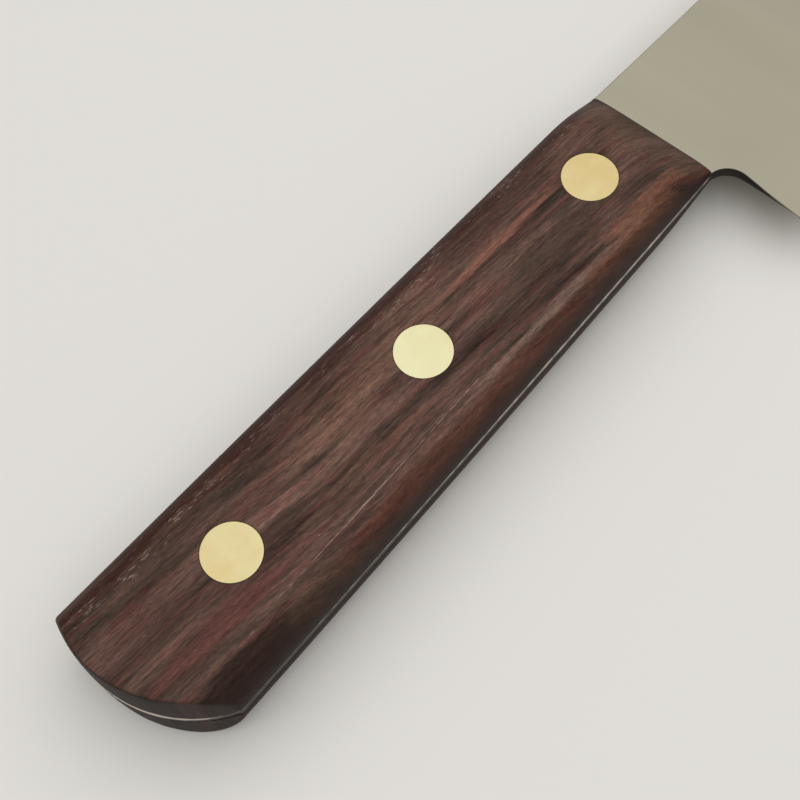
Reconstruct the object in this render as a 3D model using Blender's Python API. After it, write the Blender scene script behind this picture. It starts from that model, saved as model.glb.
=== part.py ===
"""Slicing knife with a full tang, two wooden scales and three two-piece brass rivets.

The knife lies on its left side. +X runs to the tip, +Y to the spine, and +Z comes out of the right
side. While the shapes are made, X = 0 is the middle rivet, Y = 0 the middle of the handle and Z = 0
the middle of the steel. One empty then sets the whole knife down: its origin is the middle of the
bottom of the box around it. All sizes are in metres.
"""

import math

import bmesh
import bpy

# Steel
BLADE_LENGTH = 0.2400
BLADE_HEIGHT = 0.0364
SPINE_ANGLE = math.radians(2.05)
SPINE_DROP = 0.0046
SPINE_DROP_LENGTH = 0.0900
EDGE_CURVE_POWER = 6.0
TIP_BLUNT = 0.0004
TANG_THICKNESS = 0.0020
TIP_THICKNESS = 0.0007
TAPER_POWER = 1.6
GRIND_POWER = 1.7
BEVEL_WIDTH = 0.0020
BEVEL_SHARE_AT_TIP = 0.25
BEVEL_THICKNESS = 0.0003
EDGE_THICKNESS = 0.0001
HEEL_FROM_WOOD = 0.0020
HEEL_LEAN = math.radians(4.5)
CHOIL_RADIUS = 0.0036
GRIND_BLEND_LENGTH = 0.0140
GRIND_BLEND_DEPTH = 0.0100

# Handle
HANDLE_LENGTH = 0.1087
HANDLE_FRONT_HEIGHT = 0.0211
HANDLE_REAR_HEIGHT = 0.0250
SIDE_BULGE = 0.00015
BUTT_CREST = 0.0034
BUTT_UPPER_SETBACK = 0.0018
BUTT_LOWER_SETBACK = 0.0091
BUTT_CROWN = 0.0003
SCALE_THICKNESS = 0.0066
SPINE_SIDE_ROUND = 0.0047
EDGE_SIDE_FRONT_ROUND = 0.0035
EDGE_SIDE_REAR_ROUND = 0.0047
ROUND_GROWTH_POWER = 6.0
ROUND_FULLNESS = 2.3
RIDGE_ANGLE = math.radians(9.0)
RAMP_LENGTH = 0.0112
FRONT_LIP = 0.0006

# Rivets
MIDDLE_RIVET_FROM_FRONT = 0.0510
FRONT_RIVET_SPACING = 0.0353
REAR_RIVET_SPACING = 0.0360
RIVET_HEAD_DIAMETER = 0.0080
RIVET_HEAD_THICKNESS = 0.0016
TUBE_DIAMETER = 0.0050
STUD_DIAMETER = 0.0026
STUD_POINT = 0.0004

# Clearances between pieces
GLUE_GAP = 0.0003
RIVET_GAP = 0.0003

# How finely the shapes are drawn
ROUND_STEPS = 8
TURN_STEPS = 36
BUTT_STEPS = 14
GRIND_ROWS = 7
TANG_STATIONS = 4
BLEND_STATIONS = 8
BLADE_STATIONS = 6
TIP_STATIONS = 24
SCALE_STATIONS = 8
RAMP_STATIONS = 8
MERGE_DISTANCE = 0.000001
SHARP_ANGLE = math.radians(30)

# Places along the knife that follow from the sizes
WOOD_FRONT = MIDDLE_RIVET_FROM_FRONT
BUTT_X = WOOD_FRONT - HANDLE_LENGTH
HEEL_X = WOOD_FRONT + HEEL_FROM_WOOD
TIP_X = HEEL_X + BLADE_LENGTH
RIVET_PLACES = {
    "front": (FRONT_RIVET_SPACING, 0, 0),
    "middle": (0, 0, 0),
    "rear": (-REAR_RIVET_SPACING, 0, 0),
}
TANG_HALF = TANG_THICKNESS / 2
SCALE_INNER = TANG_HALF + GLUE_GAP
SCALE_OUTER = SCALE_INNER + SCALE_THICKNESS
CUT_MARGIN = 0.0100


def smooth_step(value):
    """Ease from 0 to 1."""
    value = min(max(value, 0.0), 1.0)
    return value * value * (3 - 2 * value)


def spread(start, end, count):
    """Return count + 1 even steps from start to end."""
    return [start + (end - start) * i / count for i in range(count + 1)]


def handle_half_height(x):
    """Half the height of the tang and scales, growing from the front to the butt."""
    along = (WOOD_FRONT - x) / HANDLE_LENGTH
    height = HANDLE_FRONT_HEIGHT + (HANDLE_REAR_HEIGHT - HANDLE_FRONT_HEIGHT) * along
    return height / 2 + 4 * SIDE_BULGE * along * (1 - along)


def spine_y(x):
    """Height of the spine in front of the wood: a straight line that bends down to the tip."""
    line = HANDLE_FRONT_HEIGHT / 2 - math.tan(SPINE_ANGLE) * (x - WOOD_FRONT)
    near_tip = max(0.0, (x - TIP_X + SPINE_DROP_LENGTH) / SPINE_DROP_LENGTH)
    return line - SPINE_DROP * near_tip ** 2


HEEL_Y = spine_y(HEEL_X) - BLADE_HEIGHT


def edge_y(x):
    """Height of the cutting edge: level at the heel, and rising faster and faster to the tip."""
    along = max(0.0, (x - HEEL_X) / BLADE_LENGTH)
    rise = spine_y(TIP_X) - TIP_BLUNT - HEEL_Y
    return HEEL_Y + rise * along ** EDGE_CURVE_POWER


def top_y(x):
    """Upper outline of the steel, along the tang and then the spine."""
    if x <= WOOD_FRONT:
        return handle_half_height(x)
    return spine_y(x)


def spine_half_thickness(x):
    """Half the thickness at the spine, which tapers from the wood to the tip."""
    along = max(0.0, (x - WOOD_FRONT) / (TIP_X - WOOD_FRONT))
    return TANG_HALF + (TIP_THICKNESS / 2 - TANG_HALF) * along ** TAPER_POWER


def half_thickness(x, y, shoulder_y):
    """Half the thickness of the steel above the bevel, ground thinner from the spine down."""
    spine = spine_half_thickness(x)
    shoulder = min(BEVEL_THICKNESS / 2, spine)
    down = (top_y(x) - y) / max(top_y(x) - shoulder_y, TIP_BLUNT / 2)
    ground = shoulder + (spine - shoulder) * (1 - down ** GRIND_POWER)
    from_wood = 1 - smooth_step((x - WOOD_FRONT) / GRIND_BLEND_LENGTH)
    tang_low = -HANDLE_FRONT_HEIGHT / 2
    below_tang = 1 - smooth_step((tang_low - y) / GRIND_BLEND_DEPTH)
    if x <= WOOD_FRONT:
        return TANG_HALF
    return ground + (TANG_HALF - ground) * from_wood * below_tang


def steel_section(x):
    """One ring round the steel at x: down the right side and up the left side."""
    top = top_y(x)
    bottom = edge_y(x)
    bevel = min(BEVEL_WIDTH, (top - bottom) * BEVEL_SHARE_AT_TIP)
    shoulder_y = bottom + bevel
    right = []
    for y in spread(top, shoulder_y, GRIND_ROWS):
        right.append((x, y, half_thickness(x, y, shoulder_y)))
    right.append((x, bottom, EDGE_THICKNESS / 2))
    left = [(px, py, -pz) for px, py, pz in reversed(right)]
    return right + left


def loft(rings):
    """Join rings of equal size into one closed skin."""
    bm = bmesh.new()
    rows = [[bm.verts.new(point) for point in ring] for ring in rings]
    count = len(rows[0])
    for row, next_row in zip(rows, rows[1:]):
        for i in range(count):
            j = (i + 1) % count
            bm.faces.new((row[i], row[j], next_row[j], next_row[i]))
    bm.faces.new(rows[0])
    bm.faces.new(rows[-1])
    bmesh.ops.recalc_face_normals(bm, faces=bm.faces)
    return bm


def prism(outline, low, high):
    """Raise a flat outline from z = low to z = high."""
    return loft([[(x, y, low) for x, y in outline], [(x, y, high) for x, y in outline]])


def turned(profile):
    """Turn (radius, z) points, whose first and last lie on the axis, into a closed round body."""
    bm = bmesh.new()
    verts = [bm.verts.new((radius, 0, z)) for radius, z in profile]
    edges = [bm.edges.new(pair) for pair in zip(verts, verts[1:])]
    bmesh.ops.spin(
        bm, geom=verts + edges, axis=(0, 0, 1), cent=(0, 0, 0), angle=2 * math.pi, steps=TURN_STEPS
    )
    bmesh.ops.remove_doubles(bm, verts=bm.verts, dist=MERGE_DISTANCE)
    bmesh.ops.recalc_face_normals(bm, faces=bm.faces)
    return bm


def new_piece(name, bm, parent, material=None, place=(0, 0, 0)):
    """Make an object from a bmesh; without a material it is a cutter that is not part of the knife."""
    mesh = bpy.data.meshes.new(name)
    bm.to_mesh(mesh)
    bm.free()
    piece = bpy.data.objects.new(name, mesh)
    bpy.context.collection.objects.link(piece)
    piece.parent = parent
    piece.location = place
    if material:
        mesh.materials.append(material)
        mesh.shade_smooth()
        mesh.set_sharp_from_angle(angle=SHARP_ANGLE)
    else:
        piece.hide_render = True
        piece.display_type = "WIRE"
    return piece


def cut(piece, cutters):
    """Take the cutters out of the piece."""
    for cutter in cutters:
        modifier = piece.modifiers.new(cutter.name, "BOOLEAN")
        modifier.operation = "DIFFERENCE"
        modifier.solver = "EXACT"
        modifier.object = cutter


def finish(name, colour, roughness, metallic):
    """A plain material."""
    material = bpy.data.materials.new(name)
    material.use_nodes = True
    shader = material.node_tree.nodes["Principled BSDF"]
    shader.inputs["Base Color"].default_value = (*colour, 1.0)
    shader.inputs["Roughness"].default_value = roughness
    shader.inputs["Metallic"].default_value = metallic
    return material


def butt_arc(corner_y, setback):
    """Half of the rounded butt: from the crest to a corner that lies back from it by setback."""
    rise = corner_y - BUTT_CREST
    radius = (rise ** 2 + setback ** 2) / (2 * setback)
    sweep = math.asin(min(1.0, abs(rise) / radius))
    points = []
    for angle in spread(0.0, sweep, BUTT_STEPS):
        y = BUTT_CREST + math.copysign(radius * math.sin(angle), rise)
        points.append((BUTT_X + radius * (1 - math.cos(angle)), y))
    return points


def butt_cutter(parent):
    """Everything behind the rounded butt, which is crowned: it stands furthest out at the tang."""
    corner = handle_half_height(BUTT_X)
    lower = butt_arc(-corner, BUTT_LOWER_SETBACK)
    upper = butt_arc(corner, BUTT_UPPER_SETBACK)
    far_x = BUTT_X - CUT_MARGIN
    outline = [(far_x, -corner - CUT_MARGIN), (lower[-1][0], -corner - CUT_MARGIN)]
    outline += reversed(lower[1:])
    outline += upper
    outline += [(upper[-1][0], corner + CUT_MARGIN), (far_x, corner + CUT_MARGIN)]
    levels = spread(-SCALE_OUTER - CUT_MARGIN, -TANG_HALF, ROUND_STEPS)
    levels += spread(TANG_HALF, SCALE_OUTER + CUT_MARGIN, ROUND_STEPS)
    rings = []
    for z in levels:
        inset = BUTT_CROWN * max(0.0, (abs(z) - TANG_HALF) / (SCALE_OUTER - TANG_HALF)) ** 2
        rings.append([(x + inset, y, z) for x, y in outline])
    return new_piece("butt_cutter", loft(rings), parent)


def choil_cutter(parent):
    """The space under the handle and behind the heel, with a round corner where they meet."""
    low_y = HEEL_Y - CUT_MARGIN
    corner_y = -handle_half_height(WOOD_FRONT)
    lean = math.tan(HEEL_LEAN)
    radius = CHOIL_RADIUS
    centre_y = corner_y - radius
    centre_x = HEEL_X + (centre_y - HEEL_Y) * lean - radius / math.cos(HEEL_LEAN)
    outline = [(x, -handle_half_height(x)) for x in spread(BUTT_X - CUT_MARGIN, WOOD_FRONT, BUTT_STEPS)]
    if centre_x < WOOD_FRONT:
        outline = [(x, y) for x, y in outline if x < centre_x]
        outline.append((centre_x, -handle_half_height(centre_x)))
    else:
        outline.append((centre_x, corner_y))
    for angle in spread(math.pi / 2, -HEEL_LEAN, ROUND_STEPS)[1:]:
        outline.append((centre_x + radius * math.cos(angle), centre_y + radius * math.sin(angle)))
    outline.append((HEEL_X + (low_y - HEEL_Y) * lean, low_y))
    outline.append((BUTT_X - CUT_MARGIN, low_y))
    depth = TANG_HALF + CUT_MARGIN
    return new_piece("choil_cutter", prism(outline, -depth, depth), parent)


def rivet_hole_cutters(parent):
    """The bores for the rivet tubes, through tang and scales, and the seats for the heads."""
    tube_radius = TUBE_DIAMETER / 2 + RIVET_GAP
    head_radius = RIVET_HEAD_DIAMETER / 2 + RIVET_GAP
    end = SCALE_OUTER + CUT_MARGIN
    floor = SCALE_OUTER - RIVET_HEAD_THICKNESS - RIVET_GAP
    profile = [(0, -end), (head_radius, -end), (head_radius, -floor), (tube_radius, -floor)]
    profile += [(radius, -z) for radius, z in reversed(profile)]
    cutters = []
    for name, place in RIVET_PLACES.items():
        cutters.append(new_piece(name + "_hole_cutter", turned(profile), parent, place=place))
    return cutters


def make_blade(parent, material, cutters):
    """The blade and tang, one piece: a full-length plate with its taper and grind, cut to outline."""
    stations = spread(BUTT_X - CUT_MARGIN / 2, WOOD_FRONT, TANG_STATIONS)
    stations += spread(WOOD_FRONT, WOOD_FRONT + GRIND_BLEND_LENGTH, BLEND_STATIONS)[1:]
    stations += spread(stations[-1], TIP_X - SPINE_DROP_LENGTH, BLADE_STATIONS)[1:]
    stations += spread(stations[-1], TIP_X, TIP_STATIONS)[1:]
    rings = [steel_section(x) for x in stations]
    blade = new_piece("blade", loft(rings), parent, material)
    cut(blade, cutters)
    return blade


def round_over(width, thickness):
    """Half a section's round side, from the tang up to the ridge: (distance in, height) points.

    The curve is a slightly fuller ellipse whose last few degrees are left out, so that it meets the
    flat in a soft ridge.
    """
    power = 2 / ROUND_FULLNESS
    start = math.sin(RIDGE_ANGLE) ** power
    top = math.cos(RIDGE_ANGLE) ** power
    points = [(0.0, 0.0)]
    for angle in spread(math.pi / 2, RIDGE_ANGLE, ROUND_STEPS)[1:]:
        inward = width * (1 - math.sin(angle) ** power) / (1 - start)
        points.append((inward, thickness * math.cos(angle) ** power / top))
    return points


def scale_section(x, side):
    """One ring round a scale at x: flat outside, rounded over to the tang, flat inside."""
    half = handle_half_height(x)
    along = max(0.0, (WOOD_FRONT - x) / HANDLE_LENGTH)
    growth = (EDGE_SIDE_REAR_ROUND - EDGE_SIDE_FRONT_ROUND) * along ** ROUND_GROWTH_POWER
    on_ramp = max(0.0, (x - WOOD_FRONT + RAMP_LENGTH) / RAMP_LENGTH)
    thickness = SCALE_THICKNESS - (SCALE_THICKNESS - FRONT_LIP) * on_ramp ** 2
    spine_side = round_over(SPINE_SIDE_ROUND, thickness)
    edge_side = round_over(EDGE_SIDE_FRONT_ROUND + growth, thickness)
    ring = [(x, half - inward, side * (SCALE_INNER + rise)) for inward, rise in spine_side]
    ring += [(x, inward - half, side * (SCALE_INNER + rise)) for inward, rise in reversed(edge_side)]
    return ring


def make_scale(name, side, parent, material, cutters):
    """One wooden half of the handle; side is 1 on the right and -1 on the left."""
    stations = spread(BUTT_X - CUT_MARGIN / 2, WOOD_FRONT - RAMP_LENGTH, SCALE_STATIONS)
    stations += spread(WOOD_FRONT - RAMP_LENGTH, WOOD_FRONT, RAMP_STATIONS)[1:]
    rings = [scale_section(x, side) for x in stations]
    scale = new_piece(name, loft(rings), parent, material)
    cut(scale, cutters)
    return scale


def make_rivet(name, place, parent, material):
    """A two-piece rivet: the cap's tube goes through the handle, and the stud is pressed into it."""
    head_radius = RIVET_HEAD_DIAMETER / 2
    under_head = SCALE_OUTER - RIVET_HEAD_THICKNESS
    stud_radius = STUD_DIAMETER / 2
    bore_radius = stud_radius + RIVET_GAP
    bore_end = -under_head + RIVET_GAP
    stud_end = bore_end + RIVET_GAP
    stud = [
        (0, SCALE_OUTER),
        (head_radius, SCALE_OUTER),
        (head_radius, under_head),
        (stud_radius, under_head),
        (stud_radius, stud_end + STUD_POINT),
        (stud_radius - STUD_POINT, stud_end),
        (0, stud_end),
    ]
    cap = [
        (0, -SCALE_OUTER),
        (head_radius, -SCALE_OUTER),
        (head_radius, -under_head),
        (TUBE_DIAMETER / 2, -under_head),
        (TUBE_DIAMETER / 2, under_head - RIVET_GAP),
        (bore_radius, under_head - RIVET_GAP),
        (bore_radius, bore_end),
        (0, bore_end),
    ]
    new_piece(name + "_rivet_stud", turned(stud), parent, material, place)
    new_piece(name + "_rivet_cap", turned(cap), parent, material, place)


def set_down(origin):
    """Move the knife so that the middle of the bottom of its box is at the world's origin."""
    highest_y = max(top_y(x) for x in (BUTT_X + BUTT_UPPER_SETBACK, WOOD_FRONT))
    origin.location = (-(BUTT_X + TIP_X) / 2, -(highest_y + HEEL_Y) / 2, SCALE_OUTER)


def build():
    """Clear the scene and make the knife."""
    for old in list(bpy.data.objects):
        bpy.data.objects.remove(old, do_unlink=True)
    origin = bpy.data.objects.new("knife_origin", None)
    bpy.context.collection.objects.link(origin)

    steel = finish("satin_steel", (0.38, 0.37, 0.33), 0.35, 1.0)
    rosewood = finish("rosewood", (0.085, 0.045, 0.035), 0.45, 0.0)
    brass = finish("brass", (0.78, 0.62, 0.30), 0.30, 1.0)

    holes = rivet_hole_cutters(origin)
    butt = butt_cutter(origin)
    choil = choil_cutter(origin)
    make_blade(origin, steel, [choil, butt, *holes])
    make_scale("right_scale", 1, origin, rosewood, [butt, *holes])
    make_scale("left_scale", -1, origin, rosewood, [butt, *holes])
    for name, place in RIVET_PLACES.items():
        make_rivet(name, place, origin, brass)
    set_down(origin)


build()
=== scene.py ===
# %% [markdown]
# A slicing knife with a full tang. One piece of steel runs from the butt of the handle to the
# tip, two wooden scales are glued on its sides, and three two-piece brass rivets hold them.
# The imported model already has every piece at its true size. This lesson keeps those places and
# gives each piece the finer surface and the finish that a hand and an eye would find on it.

# %% Load the frame
import math

import bmesh
import bpy
from mathutils import Matrix, Vector


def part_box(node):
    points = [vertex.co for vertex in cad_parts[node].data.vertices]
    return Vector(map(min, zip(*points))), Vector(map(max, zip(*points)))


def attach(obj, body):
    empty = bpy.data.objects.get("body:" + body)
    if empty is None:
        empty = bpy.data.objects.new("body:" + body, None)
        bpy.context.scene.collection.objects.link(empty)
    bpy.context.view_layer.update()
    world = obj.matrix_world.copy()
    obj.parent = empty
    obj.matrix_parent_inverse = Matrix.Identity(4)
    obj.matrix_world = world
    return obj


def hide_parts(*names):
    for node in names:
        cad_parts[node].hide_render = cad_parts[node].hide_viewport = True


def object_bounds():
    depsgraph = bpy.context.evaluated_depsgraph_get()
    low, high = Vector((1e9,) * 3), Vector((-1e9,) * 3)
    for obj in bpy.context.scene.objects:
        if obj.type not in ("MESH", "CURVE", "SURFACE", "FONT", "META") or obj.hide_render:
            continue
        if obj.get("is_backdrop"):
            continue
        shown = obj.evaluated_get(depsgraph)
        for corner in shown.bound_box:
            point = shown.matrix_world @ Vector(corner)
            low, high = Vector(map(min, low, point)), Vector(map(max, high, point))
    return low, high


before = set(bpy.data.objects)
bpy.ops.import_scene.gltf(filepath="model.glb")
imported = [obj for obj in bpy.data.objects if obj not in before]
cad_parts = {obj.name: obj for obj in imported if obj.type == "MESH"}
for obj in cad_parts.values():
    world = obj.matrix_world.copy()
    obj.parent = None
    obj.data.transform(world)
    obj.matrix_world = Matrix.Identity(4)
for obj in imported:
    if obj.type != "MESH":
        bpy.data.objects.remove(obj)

cad_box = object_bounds()
print("packed nodes:", ", ".join(sorted(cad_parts)))
print("packed box in mm:", [[round(v * 1000, 2) for v in corner] for corner in cad_box])

# %% [markdown]
# Every place below is measured from one point: the middle rivet's axis, halfway through the
# steel. +X runs to the tip, +Y to the spine and +Z out of the right side. Most sizes come from
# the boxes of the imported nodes. The few that a box does not show are named here.

# %% Sizes from the frame
MM = 0.001

steel_low, steel_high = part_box("blade")
wood_low, wood_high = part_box("right_scale")
head_low, head_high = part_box("middle_rivet_stud")
origin = (head_low + head_high) / 2
origin.z = (steel_low.z + steel_high.z) / 2

WOOD_FRONT = wood_high.x - origin.x
BUTT_X = steel_low.x - origin.x
TIP_X = steel_high.x - origin.x
HEEL_Y = steel_low.y - origin.y
TANG_HALF = (steel_high.z - steel_low.z) / 2
SCALE_OUTER = wood_high.z - origin.z
HEAD_RADIUS = (head_high.x - head_low.x) / 2
print("handle length", round((WOOD_FRONT - BUTT_X) / MM, 2), "mm")

# %% Sizes that a box does not show
FRONT_HEIGHT = 21.1 * MM
REAR_HEIGHT = 24.99 * MM
SIDE_BULGE = 0.15 * MM
BUTT_CREST = 3.4 * MM
UPPER_SETBACK = 1.8 * MM
LOWER_SETBACK = 9.1 * MM
SPINE_ANGLE = math.radians(2.05)
SPINE_DROP = 4.6 * MM
SPINE_DROP_LENGTH = 90 * MM
EDGE_CURVE_POWER = 6.0
TIP_BLUNT = 0.4 * MM
HEEL_FROM_WOOD = 2.0 * MM
HEEL_LEAN = math.radians(4.5)
CHOIL_RADIUS = 3.6 * MM
HEEL_X = WOOD_FRONT + HEEL_FROM_WOOD
BLADE_LENGTH = TIP_X - HEEL_X

# %% [markdown]
# The knife's outline follows a few plain rules, so it is written as functions. The handle grows
# from front to butt, the spine falls in a straight line and bends down near the tip, and the
# cutting edge is level at the heel and curves up faster and faster. A function can be asked for
# as many points as the fine mesh needs.

# %% Outline rules
def smooth_step(value):
    """Ease from 0 to 1."""
    value = min(max(value, 0.0), 1.0)
    return value * value * (3 - 2 * value)


def spread(start, end, count):
    """Return count + 1 even steps from start to end."""
    return [start + (end - start) * i / count for i in range(count + 1)]


def half_height(x):
    """Half the height of tang and scales."""
    along = (WOOD_FRONT - x) / (WOOD_FRONT - BUTT_X)
    height = FRONT_HEIGHT + (REAR_HEIGHT - FRONT_HEIGHT) * along
    return height / 2 + 4 * SIDE_BULGE * along * (1 - along)


def top_y(x):
    """Upper outline of the steel."""
    if x <= WOOD_FRONT:
        return half_height(x)
    near_tip = max(0.0, (x - TIP_X + SPINE_DROP_LENGTH) / SPINE_DROP_LENGTH)
    return FRONT_HEIGHT / 2 - math.tan(SPINE_ANGLE) * (x - WOOD_FRONT) - SPINE_DROP * near_tip ** 2


def edge_y(x):
    """Cutting edge."""
    along = max(0.0, (x - HEEL_X) / BLADE_LENGTH)
    return HEEL_Y + (top_y(TIP_X) - TIP_BLUNT - HEEL_Y) * along ** EDGE_CURVE_POWER


def butt_x(y):
    """The rounded butt: two arcs that meet at its crest."""
    corner = half_height(BUTT_X)
    rise = (corner if y > BUTT_CREST else -corner) - BUTT_CREST
    setback = UPPER_SETBACK if y > BUTT_CREST else LOWER_SETBACK
    radius = (rise ** 2 + setback ** 2) / (2 * setback)
    return BUTT_X + radius - math.sqrt(radius ** 2 - (y - BUTT_CREST) ** 2)


print("blade height at the heel", round((top_y(HEEL_X) - HEEL_Y) / MM, 2), "mm")

# %% [markdown]
# Two small helpers serve every material and node tree below. Colours are written as the sRGB
# hex values that a paint program shows, and Blender wants linear light, so one function turns
# them. The other adds a node with its settings and its links in one call.

# %% Helpers for nodes and colours
def linear(colour):
    """Turn an sRGB hex colour into linear RGBA."""
    channels = [int(colour[i:i + 2], 16) / 255 for i in (1, 3, 5)]
    return (*[c / 12.92 if c <= 0.04045 else ((c + 0.055) / 1.055) ** 2.4 for c in channels], 1.0)


def add(tree, kind, inputs=None, **settings):
    """Add a node. An input is a value, a socket, or a node whose first output feeds it."""
    node = tree.nodes.new(kind)
    for name, value in settings.items():
        setattr(node, name, value)
    for name, value in (inputs or {}).items():
        if isinstance(value, bpy.types.Node):
            value = value.outputs[0]
        if isinstance(value, bpy.types.NodeSocket):
            tree.links.new(value, node.inputs[name])
        else:
            node.inputs[name].default_value = value
    return node


def new_material(name):
    """An empty material, and its node tree."""
    material = bpy.data.materials.new(name)
    material.use_nodes = True
    material.node_tree.nodes.clear()
    return material, material.node_tree


# %% [markdown]
# Three helpers for pieces. One makes an object from a bmesh, with its place in the mesh and the
# object itself at the origin. One replaces a piece by what its modifiers make of it. One sets a
# node tree on a piece, fills in its named inputs by their identifiers, and keeps the result.

# %% Helpers for pieces
SMOOTH_ANGLE = math.radians(35)


def new_piece(name, bm, place=origin):
    """Make an object from a bmesh that was modelled round the middle rivet."""
    bmesh.ops.translate(bm, verts=bm.verts, vec=place)
    mesh = bpy.data.meshes.new(name)
    bm.to_mesh(mesh)
    bm.free()
    piece = bpy.data.objects.new(name, mesh)
    bpy.context.scene.collection.objects.link(piece)
    return piece


def settle(piece):
    """Replace a piece's mesh by what its modifiers make, as one plain mesh."""
    depsgraph = bpy.context.evaluated_depsgraph_get()
    evaluated = piece.evaluated_get(depsgraph)
    mesh = bpy.data.meshes.new_from_object(
        evaluated, preserve_all_data_layers=True, depsgraph=depsgraph)
    piece.modifiers.clear()
    piece.data = mesh
    mesh.name = piece.name


def run_tree(piece, tree, values):
    """Shape a piece with a Geometry Nodes tree."""
    modifier = piece.modifiers.new(tree.name, "NODES")
    modifier.node_group = tree
    for name, value in values.items():
        modifier[tree.interface.items_tree[name].identifier] = value
    settle(piece)


def cut(piece, cutters):
    """Take cutters out of a piece, then delete them."""
    for cutter in cutters:
        modifier = piece.modifiers.new(cutter.name, "BOOLEAN")
        modifier.object = cutter
        modifier.solver = "EXACT"
    settle(piece)
    for cutter in cutters:
        bpy.data.objects.remove(cutter, do_unlink=True)


def shade(piece):
    """Shade smooth, but keep real corners and any edge marked as a crease sharp."""
    mesh = piece.data
    mesh.shade_smooth()
    mesh.set_sharp_from_angle(angle=SMOOTH_ANGLE)
    crease = mesh.attributes.get("crease_line")
    if crease:
        sharp = mesh.attributes["sharp_edge"]
        for item, mark in zip(sharp.data, crease.data):
            item.value = item.value or mark.value


def report(piece):
    """Print what a piece came out as."""
    piece.data.calc_loop_triangles()
    bm = bmesh.new()
    bm.from_mesh(piece.data)
    is_open = any(not edge.is_manifold for edge in bm.edges)
    print(piece.name, len(piece.data.loop_triangles), "triangles,", "open" if is_open else "closed",
          round(bm.calc_volume(signed=True) / MM ** 3), "cubic mm")
    bm.free()


# %% [markdown]
# The steel is stock-removal work. A smith saws the flat outline out of sheet, then grinds both
# faces thinner towards the tip and towards the edge. The mesh could be a box that is bent and
# bevelled, but it is made as the smith does it, so that every size has one place. First comes a
# flat blank: a grid of columns that run from the spine to the lower outline, fanned out round
# the choil and the heel, with a few close rings along its rim for the eased corners.

# %% Columns of the blank
EASE = 0.16 * MM
BEVEL_HEIGHT = 0.9 * MM
FAN_TOP_X = HEEL_X + 24 * MM
FAN_END_X = HEEL_X + 56 * MM
TANG_COLUMNS = 44
ARC_COLUMNS = 14
HEEL_COLUMNS = 9
FAN_COLUMNS = 22
BLADE_COLUMNS = 86
STEEL_ROWS = 26
TIP_CROWDING = 1.5


def choil_points():
    """The lower outline from the tang to the heel: a round corner, then the straight heel line."""
    centre_y = -half_height(WOOD_FRONT) - CHOIL_RADIUS
    lean = math.tan(HEEL_LEAN)
    centre_x = HEEL_X + (centre_y - HEEL_Y) * lean - CHOIL_RADIUS / math.cos(HEEL_LEAN)
    points = []
    for angle in spread(math.pi / 2, -HEEL_LEAN, ARC_COLUMNS):
        x = centre_x + CHOIL_RADIUS * math.cos(angle)
        points.append((x, centre_y + CHOIL_RADIUS * math.sin(angle)))
    for y in spread(points[-1][1], HEEL_Y + BEVEL_HEIGHT, HEEL_COLUMNS)[1:]:
        points.append((HEEL_X + (y - HEEL_Y) * lean, y))
    return points + [(HEEL_X, HEEL_Y)]


def steel_columns():
    """Each column as (x, y) points from the spine down."""
    shares = spread(0, 1, STEEL_ROWS)
    choil = choil_points()
    columns = []
    for part in spread(0, 1, TANG_COLUMNS)[:-1]:
        column = []
        for share in shares:
            level = half_height(BUTT_X) * (1 - 2 * share)
            x = butt_x(level) * (1 - part) + choil[0][0] * part
            column.append((x, half_height(x) * (1 - 2 * share)))
        columns.append(column)
    ends = list(zip(spread(choil[0][0], FAN_TOP_X, len(choil) - 1), choil))
    tops = spread(FAN_TOP_X, FAN_END_X, FAN_COLUMNS)[1:]
    lows = spread(HEEL_X, FAN_END_X, FAN_COLUMNS)[1:]
    ends += [(top, (low, edge_y(low))) for top, low in zip(tops, lows)]
    for part in spread(0, 1, BLADE_COLUMNS)[1:]:
        x = FAN_END_X + (TIP_X - FAN_END_X) * (1 - (1 - part) ** TIP_CROWDING)
        ends.append((x, (x, edge_y(x))))
    for top_x, (low_x, low_y) in ends:
        length = math.dist((top_x, top_y(top_x)), (low_x, low_y))
        shoulder = 1 - min(BEVEL_HEIGHT / length, 0.25)
        column = []
        for share in [part * shoulder for part in spread(0, 1, STEEL_ROWS - 1)] + [1]:
            x = top_x + (low_x - top_x) * share
            column.append((x, top_y(top_x) + (low_y - top_y(top_x)) * share))
        columns.append(column)
    return columns


columns = steel_columns()
print(len(columns), "columns of", len(columns[0]), "points")


# %% [markdown]
# A real corner of steel is never a sharp line: it is eased by a stroke of the file, and the eye
# knows it by a thin highlight. So the rim's rings stand where a quarter circle would put them.
# Each vertex carries numbers for the grinding: how far along and how far down it lies, whether it
# is on the bevel, how much it still belongs to the flat tang, and how much the eased corner takes
# off there. The bevel's upper line is marked as a crease, because the wheel leaves it crisp.

# %% The flat blank
EASE_RINGS = 4
HOLD = 1.5
MOST_MITRE = 1.6
SMALLEST_COSINE = 0.1
SHARE_OF_GAP = 0.3
GRIND_BLEND_LENGTH = 14 * MM
GRIND_BLEND_DEPTH = 10 * MM


def walk_round(columns):
    """Column and row numbers round the rim of the grid."""
    last = len(columns) - 1
    low = len(columns[0]) - 1
    rim = [(k, 0) for k in range(last)] + [(last, j) for j in range(low)]
    return rim + [(k, low) for k in range(last, 0, -1)] + [(0, j) for j in range(low, 0, -1)]


def inward(points):
    """For each point of a clockwise outline, the step that moves it in by 1."""
    steps = []
    for i, point in enumerate(points):
        before = (point - points[i - 1]).normalized()
        after = (points[(i + 1) % len(points)] - point).normalized()
        normal = Vector((before.y + after.y, -before.x - after.x)).normalized()
        across = normal.dot(Vector((before.y, -before.x)))
        steps.append(normal * min(1 / max(across, SMALLEST_COSINE), MOST_MITRE))
    return steps


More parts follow.
